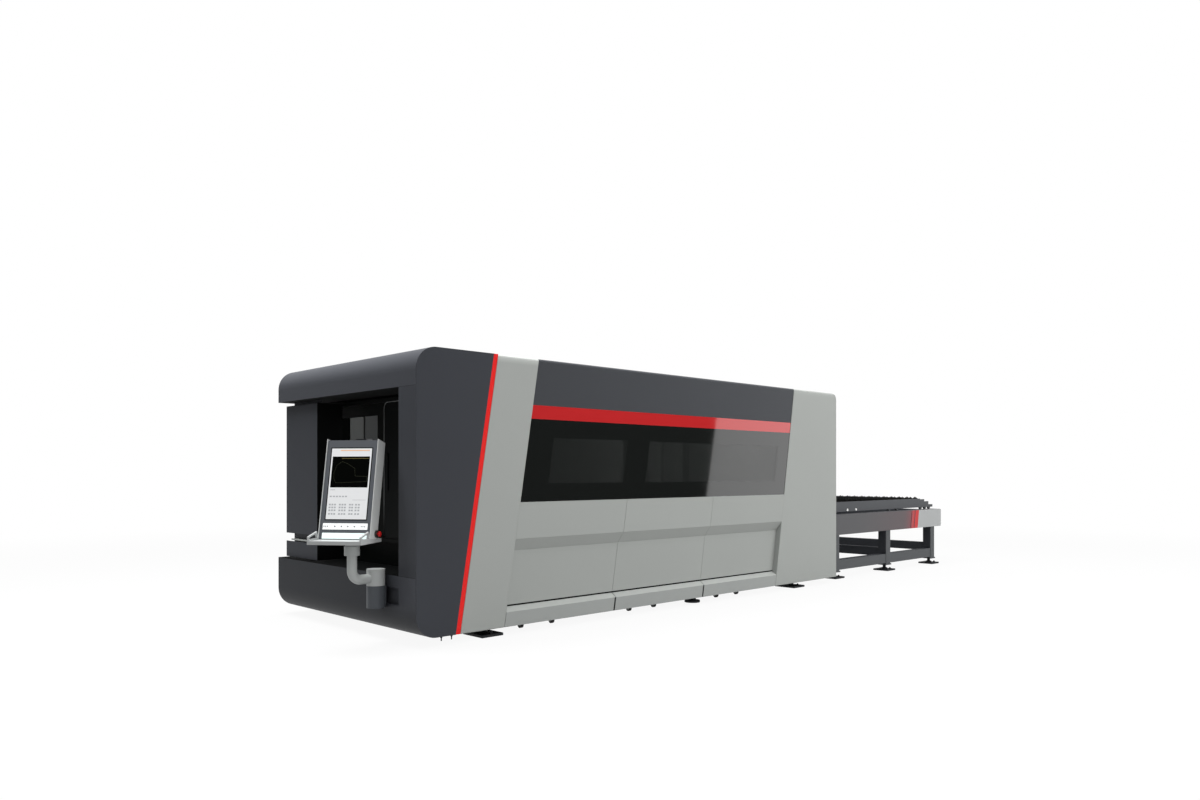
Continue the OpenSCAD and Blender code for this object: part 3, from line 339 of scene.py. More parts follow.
# The inner faces are painted dark grey, as painted shade.
outside = abs(strip.place("Y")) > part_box("red_edge_strips")[1].y - 0.004
strip.feed("Base Color", strip.mix(tone(40, 42, 45), tone(*strip_red), outside))
dress(strip, "red_edge_strips")

# %% [markdown]
# Bare metal: guide rails are ground along their length, the cutting head is machined aluminium, the feet
# are blackened steel with a trace of rust, and the slats are burnt by many cuts. Grinding is a noise that
# is stretched along the rail, and rust and scorch are patches where a broad noise is high.

# %% Metals
def ground_metal(name, colour, stretch, metallic=1.0, rough=0.32):
    """Ground or machined metal: fine scratches, long in one direction, in gloss and height."""
    finish = Finish(name, {"Metallic": metallic})
    scratch = finish.noise(400.0, 3.0, stretch)
    cloud = finish.noise(5.0, 3.0)
    finish.feed("Base Color", finish.mix(tone(*colour, 0.85), tone(*colour, 1.1), cloud))
    finish.feed("Roughness", rough + 0.2 * scratch)
    finish.feed("Normal", finish.bump(scratch, 0.00004, 0.0015))
    return finish


dress(ground_metal("ground_rail_steel", (170, 172, 174), (0.02, 1, 1)), "x_rails", "x_racks",
      "pallet_guide_rails")
dress(ground_metal("cross_rail_steel", (170, 172, 174), (1, 0.02, 1)), "y_rails")
dress(ground_metal("head_aluminium", (176, 178, 180), (1, 1, 0.05), 0.8), "y_carriage", "z_slide",
      "cutting_head")


def dark_steel(name, colour, rust, share):
    """Blackened steel: mill scale in patches, and rust where a broad noise is high."""
    finish = Finish(name, {"Metallic": 0.35, "Specular IOR Level": 0.3})
    patch = finish.noise(14.0, 5.0)
    fine = finish.noise(260.0, 3.0)
    stain = finish.ramp(patch, 0.62 - 0.3 * share, 0.9 - 0.2 * share)
    finish.feed("Base Color", finish.mix(tone(*colour), tone(*rust), stain * (0.4 + 0.6 * fine)))
    finish.feed("Roughness", 0.45 + 0.3 * fine)
    finish.feed("Normal", finish.bump(fine, 0.0002, 0.002))
    return finish


dress(dark_steel("foot_black_steel", (36, 38, 41), (70, 58, 50), 0.2), "machine_feet", "table_feet")
dress(dark_steel("slat_burnt_steel", (16, 17, 17), (40, 36, 33), 0.5), "upper_pallet_slats",
      "lower_pallet_slats")

# %% [markdown]
# Wheels are moulded rubber, the keys are a printed film with a weak glow that is painted light, and the screen
# is a flat display that gives a little light of its own. A mould leaves an even skin, so one fine noise drives
# tint, gloss and height together.
# The display's light is a weak emission in its own colour, where a lamp in front of it would spill on the bezel.

# %% Rubber, film and screen
def moulded(name, colour, rough, grain, glow=0.0):
    """Moulded plastic or rubber: a fine even texture and a dusty tint in its hollows."""
    finish = Finish(name, {"Specular IOR Level": 0.3, "Emission Strength": glow})
    skin_grain = finish.noise(grain, 3.0)
    body = finish.mix(tone(*colour, 0.92), tone(*colour, 1.06), skin_grain)
    finish.feed("Base Color", body)
    if glow:
        finish.feed("Emission Color", body)
    finish.feed("Roughness", (rough - 0.06) + 0.12 * skin_grain)
    finish.feed("Normal", finish.bump(skin_grain, 0.00006, 0.001))
    return finish


dress(moulded("wheel_black_rubber", (34, 34, 35), 0.7, 500.0), "cart_wheels_1", "cart_wheels_2",
      "cart_wheels_3")
dress(moulded("screen_white", (208, 209, 210), 0.3, 900.0, 0.27), "hmi_screen")
# The key film's glow is painted light.
dress(moulded("key_white_film", (232, 234, 234), 0.35, 900.0, 0.4), "hmi_key_strips")
dress(moulded("stop_collar_plastic", (52, 50, 48), 0.5, 900.0), "estop_base")
dress(moulded("stop_red_plastic", (178, 26, 26), 0.35, 900.0), "estop_button")

# %% [markdown]
# A pallet is one welded frame with its wheels, and the wheels are dark. They lie between two planes beside
# the side rail and below its middle, so the dark tyre is a box of object coordinates, not a new mesh.

# %% Pallet frames
def pallet_coat(name, node, tyre_inside, tyre_outside, tyre_rise):
    """Grey powder with black tyres where the width and the height over the wheels' feet say so."""
    pallet_grey, tyre_black = (75, 77, 80), (24, 25, 26)
    finish = powder_coat(name, pallet_grey, 0.5)
    width = abs(finish.place("Y"))
    below = finish.place("Z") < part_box(node)[0].z + tyre_rise
    tyre = (width > tyre_inside) * (width < tyre_outside) * below
    repaint(finish, pallet_grey, tyre_black, tyre, 0.053)
    dress(finish, node)


pallet_coat("upper_pallet_powder", "upper_pallet_frame", 0.788, 0.8128, 0.061)
pallet_coat("lower_pallet_powder", "lower_pallet_frame", 0.7752, 0.800, 0.061)

# %% [markdown]
# The side beams of the pallet changer are grey, and near their outer end they blush towards red before a
# group of leaning red stripes. Both are prints on the beam, so they are colour fields along X, and the
# lean is a share of Z added to X.

# %% Beam print
beam_grey, blush_red = (82, 82, 84), (150, 66, 72)
stripe_low, stripe_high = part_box("table_stripes")
beam_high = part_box("table_beams")[1]
stripe_back = stripe_low.x + lean * (stripe_high.z - stripe_low.z)
beam = powder_coat("beam_powder", beam_grey)
ahead_of_stripes = beam.place("X") - lean * (beam.place("Z") - beam_high.z) - stripe_back
near_end = beam.ramp(ahead_of_stripes, -0.30, 0.06)
printed = abs(beam.place("Y")) > beam_high.y - 0.002
blush = printed * (0.09 * beam.ramp(ahead_of_stripes, -1.5, 0.1) + 0.45 * near_end * near_end)
repaint(beam, beam_grey, blush_red, blush)
dress(beam, "table_beams")

stripes = powder_coat("stripe_red_print", (200, 26, 28), 0.35, 0.3)
along = stripes.place("X") - lean * (stripes.place("Z") - stripe_high.z) - stripe_back
dark_line = (along > 0.070) * (along < 0.097)
pale_part = stripes.ramp(along, 0.070, 0.0)
red = stripes.mix(tone(190, 28, 29), tone(100, 36, 42), dark_line)
stripes.feed("Base Color", stripes.mix(red, tone(*blush_red), pale_part))
dress(stripes, "table_stripes")
print("nodes without a finish:", sorted(set(nodes) - set(finishes)))

# %% [markdown]
# All trim is made from one idea: a closed outline carried along a path. A screw head is a circle carried up
# a turned profile, a key is a rounded rectangle carried out of its strip, and a rim is a small circle
# carried round a door. So every helper gives an array of rings, and one function puts rings into a mesh.

# %% Rings into meshes
def skin(name, rings, finish, body, loop=False, smooth=True):
    """Joins rings of points to one closed surface. rings has the shape (parts, rows, points, 3): each
    point is joined to its neighbour in the ring and in the next row, and the end rows are closed by
    flat caps, or with loop the last row is joined to the first."""
    parts, rows, count = rings.shape[:3]
    index = np.arange(parts * rows * count).reshape(parts, rows, count)
    beside = np.roll(index, -1, axis=2)
    above, above_beside = np.roll(index, -1, axis=1), np.roll(beside, -1, axis=1)
    quads = np.stack([index, beside, above_beside, above], -1)
    faces = quads[:, :rows if loop else rows - 1].reshape(-1, 4).tolist()
    if not loop:
        faces += index[:, 0, ::-1].tolist() + index[:, -1].tolist()
    mesh = bpy.data.meshes.new(name)
    mesh.from_pydata(rings.reshape(-1, 3).tolist(), [], faces)
    mesh.materials.append(finish.material)
    if smooth:
        mesh.shade_smooth()
        mesh.set_sharp_from_angle(angle=radians(35))
    piece = bpy.data.objects.new(name, mesh)
    scene.collection.objects.link(piece)
    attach(piece, body)
    print(name, "-", parts, "parts,", len(faces), "faces on", body)
    return piece


def turned(profile, centres, axis, around=16):
    """Turned parts: a profile of (radius, height) is carried round an axis at every centre, so a point is
    centre + height * axis + radius * (cos a * side + sin a * up)."""
    profile, centres = np.asarray(profile, float), np.atleast_2d(np.asarray(centres, float))
    axis = np.asarray(axis, float) / np.linalg.norm(axis)
    side = np.cross(axis, (0, 0, 1) if abs(axis[2]) < 0.9 else (1, 0, 0))
    side /= np.linalg.norm(side)
    angle = np.linspace(0, 2 * pi, around, endpoint=False)[:, None]
    spokes = np.cos(angle) * side + np.sin(angle) * np.cross(axis, side)
    one = profile[:, 1, None, None] * axis + profile[:, 0, None, None] * spokes
    return centres[:, None, None, :] + one


def rounded(width, height, radius, steps=4):
    """Outlines of rectangles with round corners: a quarter circle round each of the four corner centres."""
    width, height = (np.atleast_1d(np.asarray(v, float))[:, None] for v in (width, height))
    angle = (np.linspace(0, pi / 2, steps) + np.arange(4)[:, None] * pi / 2).ravel()
    across, up = np.repeat([1, -1, -1, 1], steps), np.repeat([1, 1, -1, -1], steps)
    return np.stack([across * (width / 2 - radius) + radius * np.cos(angle),
                     up * (height / 2 - radius) + radius * np.sin(angle)], -1)


def plates(centres, width, height, across, up, thick, radius):
    """Thin plates: a rounded outline carried along its normal by thick, with a small bevel at the top."""
    across, up = np.asarray(across, float), np.asarray(up, float)
    normal = np.cross(across, up)
    width, height = np.asarray(width, float), np.asarray(height, float)
    ease = min(0.3 * thick, 0.5 * radius)
    rows = [(0.0, 0.0), (0.0, thick - ease), (ease, thick)]
    flat = [(rounded(width - 2 * cut, height - 2 * cut, radius - cut), rise) for cut, rise in rows]
    layers = [outline[..., :1] * across + outline[..., 1:] * up + rise * normal for outline, rise in flat]
    return np.atleast_2d(np.asarray(centres, float))[:, None, None, :] + np.stack(layers, 1)


# %% [markdown]
# The sliding door has a thin light rim round its leaf, which is what shows of the black door in the black
# recess. It is a small round bead carried along the leaf's rounded outline. Growing the outline by a
# distance is the same as moving along its normal, so the bead is a ring of outlines. Its lower run is painted
# dark as painted shade under the sill, so its grey fades out downwards.

# %% Door rim
door_low, door_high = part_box("front_door")
door_mid = (door_low + door_high) / 2
pull_depth, leaf_corner, bead, rim_grey = 0.008, 0.060, 0.0035, (120, 122, 122)
leaf_width, leaf_height = door_high.y - door_low.y, door_high.z - door_low.z
turn = np.linspace(0, 2 * pi, 8, endpoint=False)
offset = -bead + bead * np.cos(turn)
beads = np.stack([rounded(leaf_width + 2 * d, leaf_height + 2 * d, leaf_corner + d, 7)[0] for d in offset])
rim = np.empty((1, beads.shape[1], turn.size, 3))
rim[0, :, :, 0] = door_low.x + pull_depth - bead * np.sin(turn)
rim[0, :, :, 1:] = beads.transpose(1, 0, 2) + [door_mid.y, door_mid.z]
rim_finish = powder_coat("rim_grey_powder", rim_grey, edge=0.0)
# Painted shade: the rim's lower run is painted dark, fading up into its grey.
above_sill_shade = rim_finish.ramp(rim_finish.place("Z"), door_low.z + 0.03, door_low.z + 0.35)
rim_finish.feed("Base Color", rim_finish.mix(tone(6, 6, 6), tone(*rim_grey), above_sill_shade))
skin("door_rim", rim, rim_finish, "front_door", loop=True)

# %% [markdown]
# The operator panel leans back on its own axis. Everything on its face is placed by two directions in
# that leaning plane, so a mark is given as shares of the screen's width and height.

# %% Panel plane
panel_axis = np.array(joints["panel_swivel"]["pos_m"])
stop_axis = joints["estop_press"]["axis"]
yaw, lean_back = atan2(-stop_axis[0], stop_axis[1]), radians(12)
ahead = np.array([cos(yaw), sin(yaw), 0.0])
across = np.array([sin(yaw), -cos(yaw), 0.0])
upward = sin(lean_back) * ahead + cos(lean_back) * np.array([0, 0, 1.0])
outward = np.cross(across, upward)
face_setback, face_low = 0.142, nose_corner.z + 0.675
face_foot = np.array([panel_axis[0], panel_axis[1], face_low]) - face_setback * ahead
screen_width, screen_low, screen_height = 0.304, 0.190, 0.516
glass_proud = 0.001


def on_screen(share_across, share_down):
    """Points on the screen from shares of its width and height, counted from the upper left corner."""
    share_across, share_down = np.asarray(share_across, float), np.asarray(share_down, float)
    sideways = (share_across - 0.5) * screen_width
    rise = screen_low + (1 - share_down) * screen_height
    return face_foot + glass_proud * outward + sideways[..., None] * across + rise[..., None] * upward


def screen_tiles(name, boxes, finish, thick=0.0004):
    """Flat tiles on the screen, each given as (left, top, right, bottom) shares."""
    left, top, right, bottom = np.asarray(boxes, float).T
    wide, high = (right - left) * screen_width, (bottom - top) * screen_height
    rings = plates(on_screen((left + right) / 2, (top + bottom) / 2), wide, high, across, upward,
                   thick, 0.0008)
    return skin(name, rings, finish, "panel", smooth=False)


print("panel turned by", round(yaw * 180 / pi, 1), "degrees")

# %% [markdown]
# The display shows a plain job screen: a dark plan with the outline of a sheet part, thin rules, a row of
# icons and blocks of soft keys. A picture on the glass would need an image file, so each group is one mesh of
# flat tiles in one colour, a fraction of a millimetre thick.

# %% Screen layout
plan_black = moulded("screen_plan_black", (5, 6, 5), 0.6, 900.0)
plan_black.shader.inputs["Specular IOR Level"].default_value = 0.02
screen_tiles("screen_plan", [(0.035, 0.115, 0.965, 0.555)], plan_black)
orange = moulded("screen_orange", (232, 176, 128), 0.3, 900.0, 0.1)
screen_tiles("screen_rules", [(0.22, 0.022, 0.95, 0.034)], orange)
amber = moulded("screen_amber", (116, 104, 58), 0.3, 900.0, 0.05)
screen_tiles("screen_plan_rule", [(0.27, 0.14, 0.95, 0.146)], amber, 0.0007)
soft_grey = moulded("screen_soft_grey", (172, 174, 177), 0.3, 900.0, 0.05)
icon_left = np.array([0.05, 0.13, 0.205, 0.28, 0.355, 0.43])
icons = np.stack([icon_left, 0.672 + 0 * icon_left, icon_left + 0.05, 0.69 + 0 * icon_left], 1)
rules = [(0.05, 0.585, 0.17, 0.592), (0.62, 0.728, 0.95, 0.732)]
key_left = np.array([0.05, 0.115, 0.18, 0.30, 0.365, 0.43, 0.55, 0.61, 0.70, 0.77])
key_top = np.array([0.785, 0.825, 0.865, 0.915])
keys = np.stack(np.meshgrid(key_left, key_top), -1).reshape(-1, 2)
keys = np.hstack([keys, keys + [0.045, 0.022]])
screen_tiles("screen_icons", np.vstack([icons, rules, keys]), soft_grey)

# %% [markdown]
# The plan's cut path is a thin raised line. A flat ribbon along a path is enough: the path's points are
# spread sideways by half the line's width, and a ring of four corners is carried along it.

# %% Cut path
def ribbon(path, width, thick):
    """A flat line: at each path point a ring of four corners, spread along the path's own normal in the
    screen plane and raised by thick."""
    path = np.asarray(path, float)
    step = np.gradient(path, axis=0)
    step /= np.linalg.norm(step, axis=1, keepdims=True)
    sideways = np.cross(step, outward) * width / 2
    rise = thick * outward
    return np.stack([path + sideways, path - sideways, path - sideways + rise, path + sideways + rise], 1)


outline = np.array([(0.17, 0.49), (0.11, 0.43), (0.10, 0.34), (0.16, 0.24), (0.28, 0.185), (0.45, 0.225),
                    (0.61, 0.285), (0.635, 0.395), (0.93, 0.40), (0.93, 0.47), (0.55, 0.48), (0.17, 0.49)])
stops = np.arange(len(outline))
fine_stops = np.linspace(0, len(outline) - 1, 67)
sheet_part = on_screen(*(np.interp(fine_stops, stops, outline[:, k]) for k in (0, 1)))
paths = ribbon(sheet_part, 0.0012, 0.0008)[None]
path_grey = moulded("screen_path_grey", (62, 64, 48), 0.3, 900.0)
skin("screen_cut_path", paths, path_grey, "panel", smooth=False)

# %% [markdown]
# The key strip under the screen is a printed film with a few small marks for keys. They are thin plates in
# the panel's plane, as the tiles are, because a mark of 10 mm is too small for a noise or a mask.

# %% Key marks
strip_mid = 0.1385
mark_share = np.array([0.03, 0.07, 0.11, 0.27, 0.42, 0.56, 0.71, 0.86, 0.90, 0.94])
mark_width = np.where((mark_share > 0.2) & (mark_share < 0.8), 0.012, 0.007)
strip_width = 0.336
mark_spot = face_foot + glass_proud * outward + strip_mid * upward
mark_spot = mark_spot + ((mark_share - 0.5) * strip_width)[:, None] * across
marks = plates(mark_spot, mark_width, 0.011 + 0 * mark_width, across, upward, 0.0004, 0.0015)
mark_grey = moulded("key_mark_grey", (150, 152, 155), 0.4, 900.0)
skin("key_marks", marks, mark_grey, "panel", smooth=False)

# %% [markdown]
# The emergency stop is a moulded mushroom. The construction model has it as stacked cylinders, so a turned
# profile with a crowned top stands for it. A squashed ball would be quicker, but it has no stem and no step
# under the rim, where the thumb pulls.

# %% Emergency stop head
stop_low, stop_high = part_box("estop_button")
stop_out = -np.array(stop_axis)
stop_mid = np.array((stop_low + stop_high) / 2)
stop_length = 0.0305
stop_foot = stop_mid - stop_out * stop_length / 2
crown = np.linspace(0, 0.46 * pi, 8)
mushroom = [(0.011, 0.0005), (0.011, 0.0125), (0.0165, 0.0130), (0.0198, 0.0145), (0.0205, 0.0170)]
mushroom += [(0.0205 * c + 0.0002, 0.0205 + 0.0098 * s) for c, s in zip(np.cos(crown), np.sin(crown))]
stop_head = skin("estop_head", turned(mushroom, stop_foot, stop_out, 32), finishes["estop_button"], "estop")
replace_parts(stop_head, "estop_button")

# %% [markdown]
# Fasteners give the plain far and rear walls their scale. Their sheets are held by button-head screws with a
# hollow in the head. One turned profile is repeated over rows of places, so a row is one array, not one object
# for each screw.

# %% Wall screws
screw = [(0.006, -0.0005), (0.006, 0.0010), (0.0050, 0.0024), (0.0032, 0.0030), (0.0026, 0.0030),
         (0.0024, 0.0016)]
screw_steel = ground_metal("screw_steel", (120, 122, 124), (1, 1, 1), 0.9, 0.35)


def row(start, end, count):
    """Evenly spaced places from start to end."""
    share = np.linspace(0, 1, count)[:, None]
    return np.asarray(start, float) * (1 - share) + np.asarray(end, float) * share


rear_low, rear_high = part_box("rear_wall")
far_low, far_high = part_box("far_wall")
far_rows = [row((far_low.x + 0.08, far_high.y, z), (far_high.x - 0.08, far_high.y, z), 22)
            for z in (far_low.z + 0.06, far_high.z - 0.06)]
rear_rows = [row((rear_high.x, y, rear_low.z + 0.10), (rear_high.x, y, rear_high.z - 0.06), 9)
             for y in (rear_low.y + 0.06, rear_high.y - 0.06)]
for name, rows, axis in (("far_wall_screws", far_rows, (0, 1, 0)), ("rear_wall_screws", rear_rows, (1, 0, 0))):
    skin(name, turned(screw, np.vstack(rows), axis, 10), screw_steel, "machine")

# %% [markdown]
# White nylon side rollers show as two bright dots on the pallet's side rail. They guide it along the beam. A
# roller is turned on a lathe, so its profile is turned here too, at two places on each pallet.

# %% Pallet rollers
nylon = moulded("roller_white_nylon", (236, 236, 234), 0.45, 700.0)
roller = [(0.016, -0.001), (0.016, 0.004), (0.0145, 0.007), (0.006, 0.0075), (0.0055, 0.006)]
for body, inset in (("upper_pallet", 0.0), ("lower_pallet", 0.024)):
    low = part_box(body + "_frame")[0]
    spots = [(low.x + d, low.y + inset, low.z + 0.046) for d in (1.042, 1.247)]
    skin(body + "_rollers", turned(roller, spots, (0, -1, 0), 20), nylon, body)

# %% [markdown]
# Behind the gap over the cart fronts hangs a black rubber seal, and at each joint between two carts a flap
# of it hangs down to the floor edge. They keep dust in, and they are why these gaps read as black lines. A
# straight seal closes the gap between the hood and the roof in the same way. Seals are cut from strip, so each
# is a straight bar between two corners.

# %% Cart seals
def bar(low, high):
    """Straight bars between two corners, as two rings of four corners that are carried along X."""
    low, high = np.atleast_2d(np.asarray(low, float)), np.atleast_2d(np.asarray(high, float))
    corners = np.array([(0, 0), (1, 0), (1, 1), (0, 1)], float)
    rings = np.empty((len(low), 2, 4, 3))
    rings[:, 0, :, 0], rings[:, 1, :, 0] = low[:, :1], high[:, :1]
    rings[..., 1:] = (low[:, None, 1:] + corners * (high - low)[:, None, 1:])[:, None]
    return rings


rubber = moulded("seal_black_rubber", (12, 12, 12), 0.8, 500.0)
panel_low, panel_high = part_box("lower_panels")
cart_gap_x = np.array([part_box(cart_name)[0].x for cart_name in ("scrap_cart_2", "scrap_cart_3")])
seal_y, seal_t = panel_low.y + 0.004, 0.005
seal_top, seal_low = panel_low.z + 0.012, panel_low.z - 0.030
flap_reach, flap_foot = np.array([0.085, 0, 0]), 0.068
flap_x = cart_gap_x - 0.004 + lean * (panel_low.z - nose_corner.z) / 2
long_seal = bar((panel_low.x - 0.01, seal_y, seal_low), (panel_high.x, seal_y + seal_t, seal_top))
flap_low = [(x, seal_y, flap_foot) for x in flap_x] - flap_reach
flap_high = [(x, seal_y + seal_t, seal_low) for x in flap_x] + flap_reach
skin("cart_seals", np.concatenate([long_seal, bar(flap_low, flap_high)]), rubber, "machine",
     smooth=False)
roof_low, roof_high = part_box("roof_panels")
roof_seal = bar((roof_low.x - 0.012, roof_low.y, roof_high.z - 0.020),
                (roof_low.x, roof_high.y, roof_high.z - 0.005))
skin("roof_seal", roof_seal, rubber, "machine", smooth=False)

# %% [markdown]
# The first two carts have a rubber edge down the seam to their neighbour. It leans as the seam does, so it is
# one rectangle carried from the skirt's foot to its top, and it rides on its cart.

# %% Cart edges
skirt_y, skirt_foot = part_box("scrap_cart_1")[0].y, nose_corner.z + 0.002
edge_width, edge_deep, edge_proud = 0.014, 0.014, 0.001
corners = np.array([(-edge_width, -edge_proud, 0), (0, -edge_proud, 0), (0, edge_deep, 0),
                    (-edge_width, edge_deep, 0)])
for k, gap_x in zip((1, 2), cart_gap_x):
    edge_x = gap_x - 0.0035
    ends = [(edge_x + lean * (z - nose_corner.z), skirt_y, z) for z in (skirt_foot, skirt_top)]
    edge = np.array(ends)[None, :, None, :] + corners
    skin("cart_%d_edge" % k, edge, rubber, "cart_%d" % k, smooth=False)

# %% [markdown]
# Inside the front opening three upright lining panels stand on the far wall: a black one, a light one and a
# grey one. Two more stand further back and show through the second pane. The cable notch in the apron has
# a lining too, so that one looks onto sheet metal. They are flat sheets with rounded corners, so all are plates.
# A leaning plate closes the nose's far side up to the strip, and its back edge is X = X0 + lean * Z.

# %% Linings
wall_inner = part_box("far_wall")[1].y - 0.030
lining_foot, lining_top = nose_corner.z + 0.80, nose_corner.z + 1.98
lining_x = nose_corner.x + np.array([[0.660, 0.799], [4.775, 4.930], [5.060, 5.254], [0.815, 1.030],
                                     [0.390, 0.656]])
lining_mid = [(x, wall_inner, (lining_foot + lining_top) / 2) for x in lining_x.mean(1)]
lining_height = np.full(len(lining_x), lining_top - lining_foot)
linings = plates(lining_mid, lining_x[:, 1] - lining_x[:, 0], lining_height, (1, 0, 0), (0, 0, 1), 0.045, 0.006)
lining_light = powder_coat("lining_light_powder", (128, 130, 129))
lining_dark = powder_coat("lining_dark_powder", (110, 112, 112))
skin("inner_lining_light", linings[:3], lining_light, "machine")
skin("inner_lining_grey", linings[3:4], lining_dark, "machine")
skin("inner_lining_black", linings[4:], finishes["front_wall"], "machine")
side_z = np.array([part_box("nose_apron")[1].z - 0.02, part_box("nose_hood")[0].z + 0.02])
side_front = nose_corner.x + 0.352 + 0 * side_z
side_back = nose_corner.x + 0.358 + lean * (side_z - nose_corner.z)
side_out, side_in = wall_inner + 0.006, wall_inner + 0.002
nose_side = np.stack([
    np.stack([x, y + 0 * side_z, side_z], 1)
    for x, y in ((side_front, side_in), (side_back, side_in), (side_back, side_out), (side_front, side_out))], 1)
skin("nose_far_side", nose_side[None], graphite, "machine", smooth=False)
notch_spot = Vector((0.045, 0.321, 0.286)) + nose_corner
notch = plates([notch_spot], [0.30], [0.22], (0, -1, 0), (0, 0, 1), 0.002, 0.004)
skin("notch_lining", notch, powder_coat("notch_powder", (78, 80, 85)), "machine")

# %% [markdown]
# Behind the two front covers a dark backing plate hangs from the hood. It stops short of the covers' far
# edge, so small notches stay open there. A slim light rail lies along it. The construction model has a thicker
# bar in this place, so the rail is a rounded plate that stands for the bar.

# %% Cover slot
slot_x, slot_far = nose_corner.x + 0.100, nose_corner.y + 2.146
slot_near, slot_foot, slot_top = cover_low.y + 0.008, nose_corner.z + 0.500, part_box("nose_hood")[0].z
sheet_t = 0.004
backing_spot = (slot_x + sheet_t, (slot_near + slot_far) / 2, (slot_foot + slot_top) / 2)
backing_size = [slot_far - slot_near], [slot_top - slot_foot]
backing = plates([backing_spot], *backing_size, (0, -1, 0), (0, 0, 1), sheet_t, 0.006)
skin("cover_backing", backing, graphite, "machine")
rail_near, rail_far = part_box("front_cover_rail")[0].y, slot_far - 0.012
rail_spot = (slot_x, (rail_near + rail_far) / 2, nose_corner.z + 0.603)
slim_rail = plates([rail_spot], [rail_far - rail_near], [0.013], (0, -1, 0), (0, 0, 1), 0.034, 0.003)
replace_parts(skin("cover_rail", slim_rail, light, "machine"), "front_cover_rail")

# %% [markdown]
# The seams between the side panels are sealed with a bead of grey sealant, so they read as faint lines. A
# bead follows the panels' section: straight up, out over the fold, and straight up again. So four rings for
# each seam are enough, one at each bend.

# %% Seam beads
panel_pitch, panel_start, bead_sunk = 1.19967, 0.786, 0.0009
bead_y = np.array([0.057, 0.057, 0.002, 0.002]) + bead_sunk
bead_z = np.array([0.162, 0.581, 0.675, 0.958])
seam_x = np.array([1, 2])[:, None] * panel_pitch + panel_start + lean * bead_z
half, deep = np.array([-0.0013, 0.0013, 0.0013, -0.0013]), np.array([0, 0, 0.003, 0.003])
seams = np.empty((2, 4, 4, 3))
seams[..., 0] = seam_x[..., None] + half
seams[..., 1] = bead_y[:, None] + deep
seams[..., 2] = bead_z[:, None]
sealant = moulded("seam_grey_sealant", (150, 153, 150), 0.6, 300.0)
skin("panel_beads", seams + np.array(nose_corner), sealant, "machine", smooth=False)

# %% [markdown]
# Each leg of the changer ends in a plate a little wider than the leg, which the jack screw carries. Cut plate
# has slightly round corners and a broken edge, so it is the same rounded plate again, laid flat.

# %% Leg end plates
leg_half, plate_width, plate_t = 0.055, 0.132, 0.016
leg_x = np.linspace(leg_low.x + leg_half, leg_high.x - leg_half, 3)
leg_y = np.array([leg_low.y + leg_half, leg_high.y - leg_half])
end_spots = np.stack(np.meshgrid(leg_x, leg_y, [leg_low.z - plate_t]), -1).reshape(-1, 3)
end_size = np.full(len(end_spots), plate_width)
end_plates = plates(end_spots, end_size, end_size, (1, 0, 0), (0, 1, 0), plate_t, 0.006)
skin("leg_end_plates", end_plates, leg, "machine")

# %% [markdown]
# The anchor plates are held to the floor by threaded studs with a washer and a nut. All three are turned
# profiles at the same places, and the nut is turned in six steps only, which gives its flats.

# %% Anchors
plate_spots = np.array([(0.700, 0.054), (4.880, 0.054), (5.925, 0.172), (7.170, 0.172), (8.415, 0.172)])
body_width, plate_top = 2.25, -0.045
plate_spots = np.concatenate([plate_spots, plate_spots * [1, -1] + [0, body_width]])
anchors = np.array(nose_corner) + np.column_stack([plate_spots, np.full(len(plate_spots), plate_top)])
washer = [(0.017, 0.0001), (0.017, 0.003), (0.0088, 0.003)]
nut = [(0.0135, 0.0025), (0.0135, 0.0155), (0.0115, 0.0165), (0.0085, 0.0165)]
threaded = [(0.008, -0.018), (0.008, 0.0215), (0.0068, 0.023)]
for name, profile, around in (("washers", washer, 20), ("nuts", nut, 6), ("studs", threaded, 12)):
    skin("anchor_" + name, turned(profile, anchors, (0, 0, 1), around), finishes["machine_feet"], "machine")

# %% [markdown]
# Two locating studs with nuts show under the nose's near edge. Stud and nut are one turned profile with a
# step, because at this size the nut's six sides would not be seen.

# %% Nose studs
stud = [(0.0045, -0.030), (0.0045, -0.0072), (0.0085, -0.0070), (0.0085, 0.0), (0.0045, 0.0), (0.0045, 0.004)]
stud_spots = np.array(nose_corner) + np.array([(0.217, 0.008, 0.0), (0.306, 0.008, 0.0)])
skin("nose_studs", turned(stud, stud_spots, (0, 0, 1), 12), finishes["machine_feet"], "machine")

# %% [markdown]
# The strip under the keys is a pointing surface, slightly blue-green and made bright partly by a weak glow that
# is painted light, and the display has a thin black border in its bezel. Both are thin plates in the panel's
# plane. The border is four plates, because a frame with a hole is not one outline carried along a path.

# %% Pad and border
pad_rise, pad_height, border_width = 0.071, 0.040, 0.007
pad_mid = face_foot + glass_proud * outward + pad_rise * upward
pad = plates([pad_mid], [strip_width - 0.004], [pad_height], across, upward, 0.0004, 0.003)
# The pad film's glow is painted light.
pad_film = moulded("pad_bright_film", (226, 244, 241), 0.35, 900.0, 0.4)
skin("pad_film", pad, pad_film, "panel", smooth=False)
screen_rise, both_sides = screen_low + screen_height / 2, np.array([-0.5, 0.5])[:, None]
border_spots = face_foot + np.concatenate([
    both_sides * (screen_width + border_width) * across + screen_rise * upward,
    (screen_rise + both_sides * (screen_height + border_width)) * upward])
border = plates(border_spots, [border_width] * 2 + [screen_width + 2 * border_width] * 2,
                [screen_height + border_width] * 2 + [border_width] * 2, across, upward, 0.0008, 0.0005)
skin("screen_border", border, plan_black, "panel", smooth=False)

# %% [markdown]
# Studio: a pale floor and a white world. Both look white to the camera through the Light Path node, so the
# lamps can stay at a plain level, and the floor keeps a share of its own shading for the shadow. To bounced
# light the floor is darker, or it would light the machine from below. Under the cabin it is plain floor, so that
# the inside stays dark.

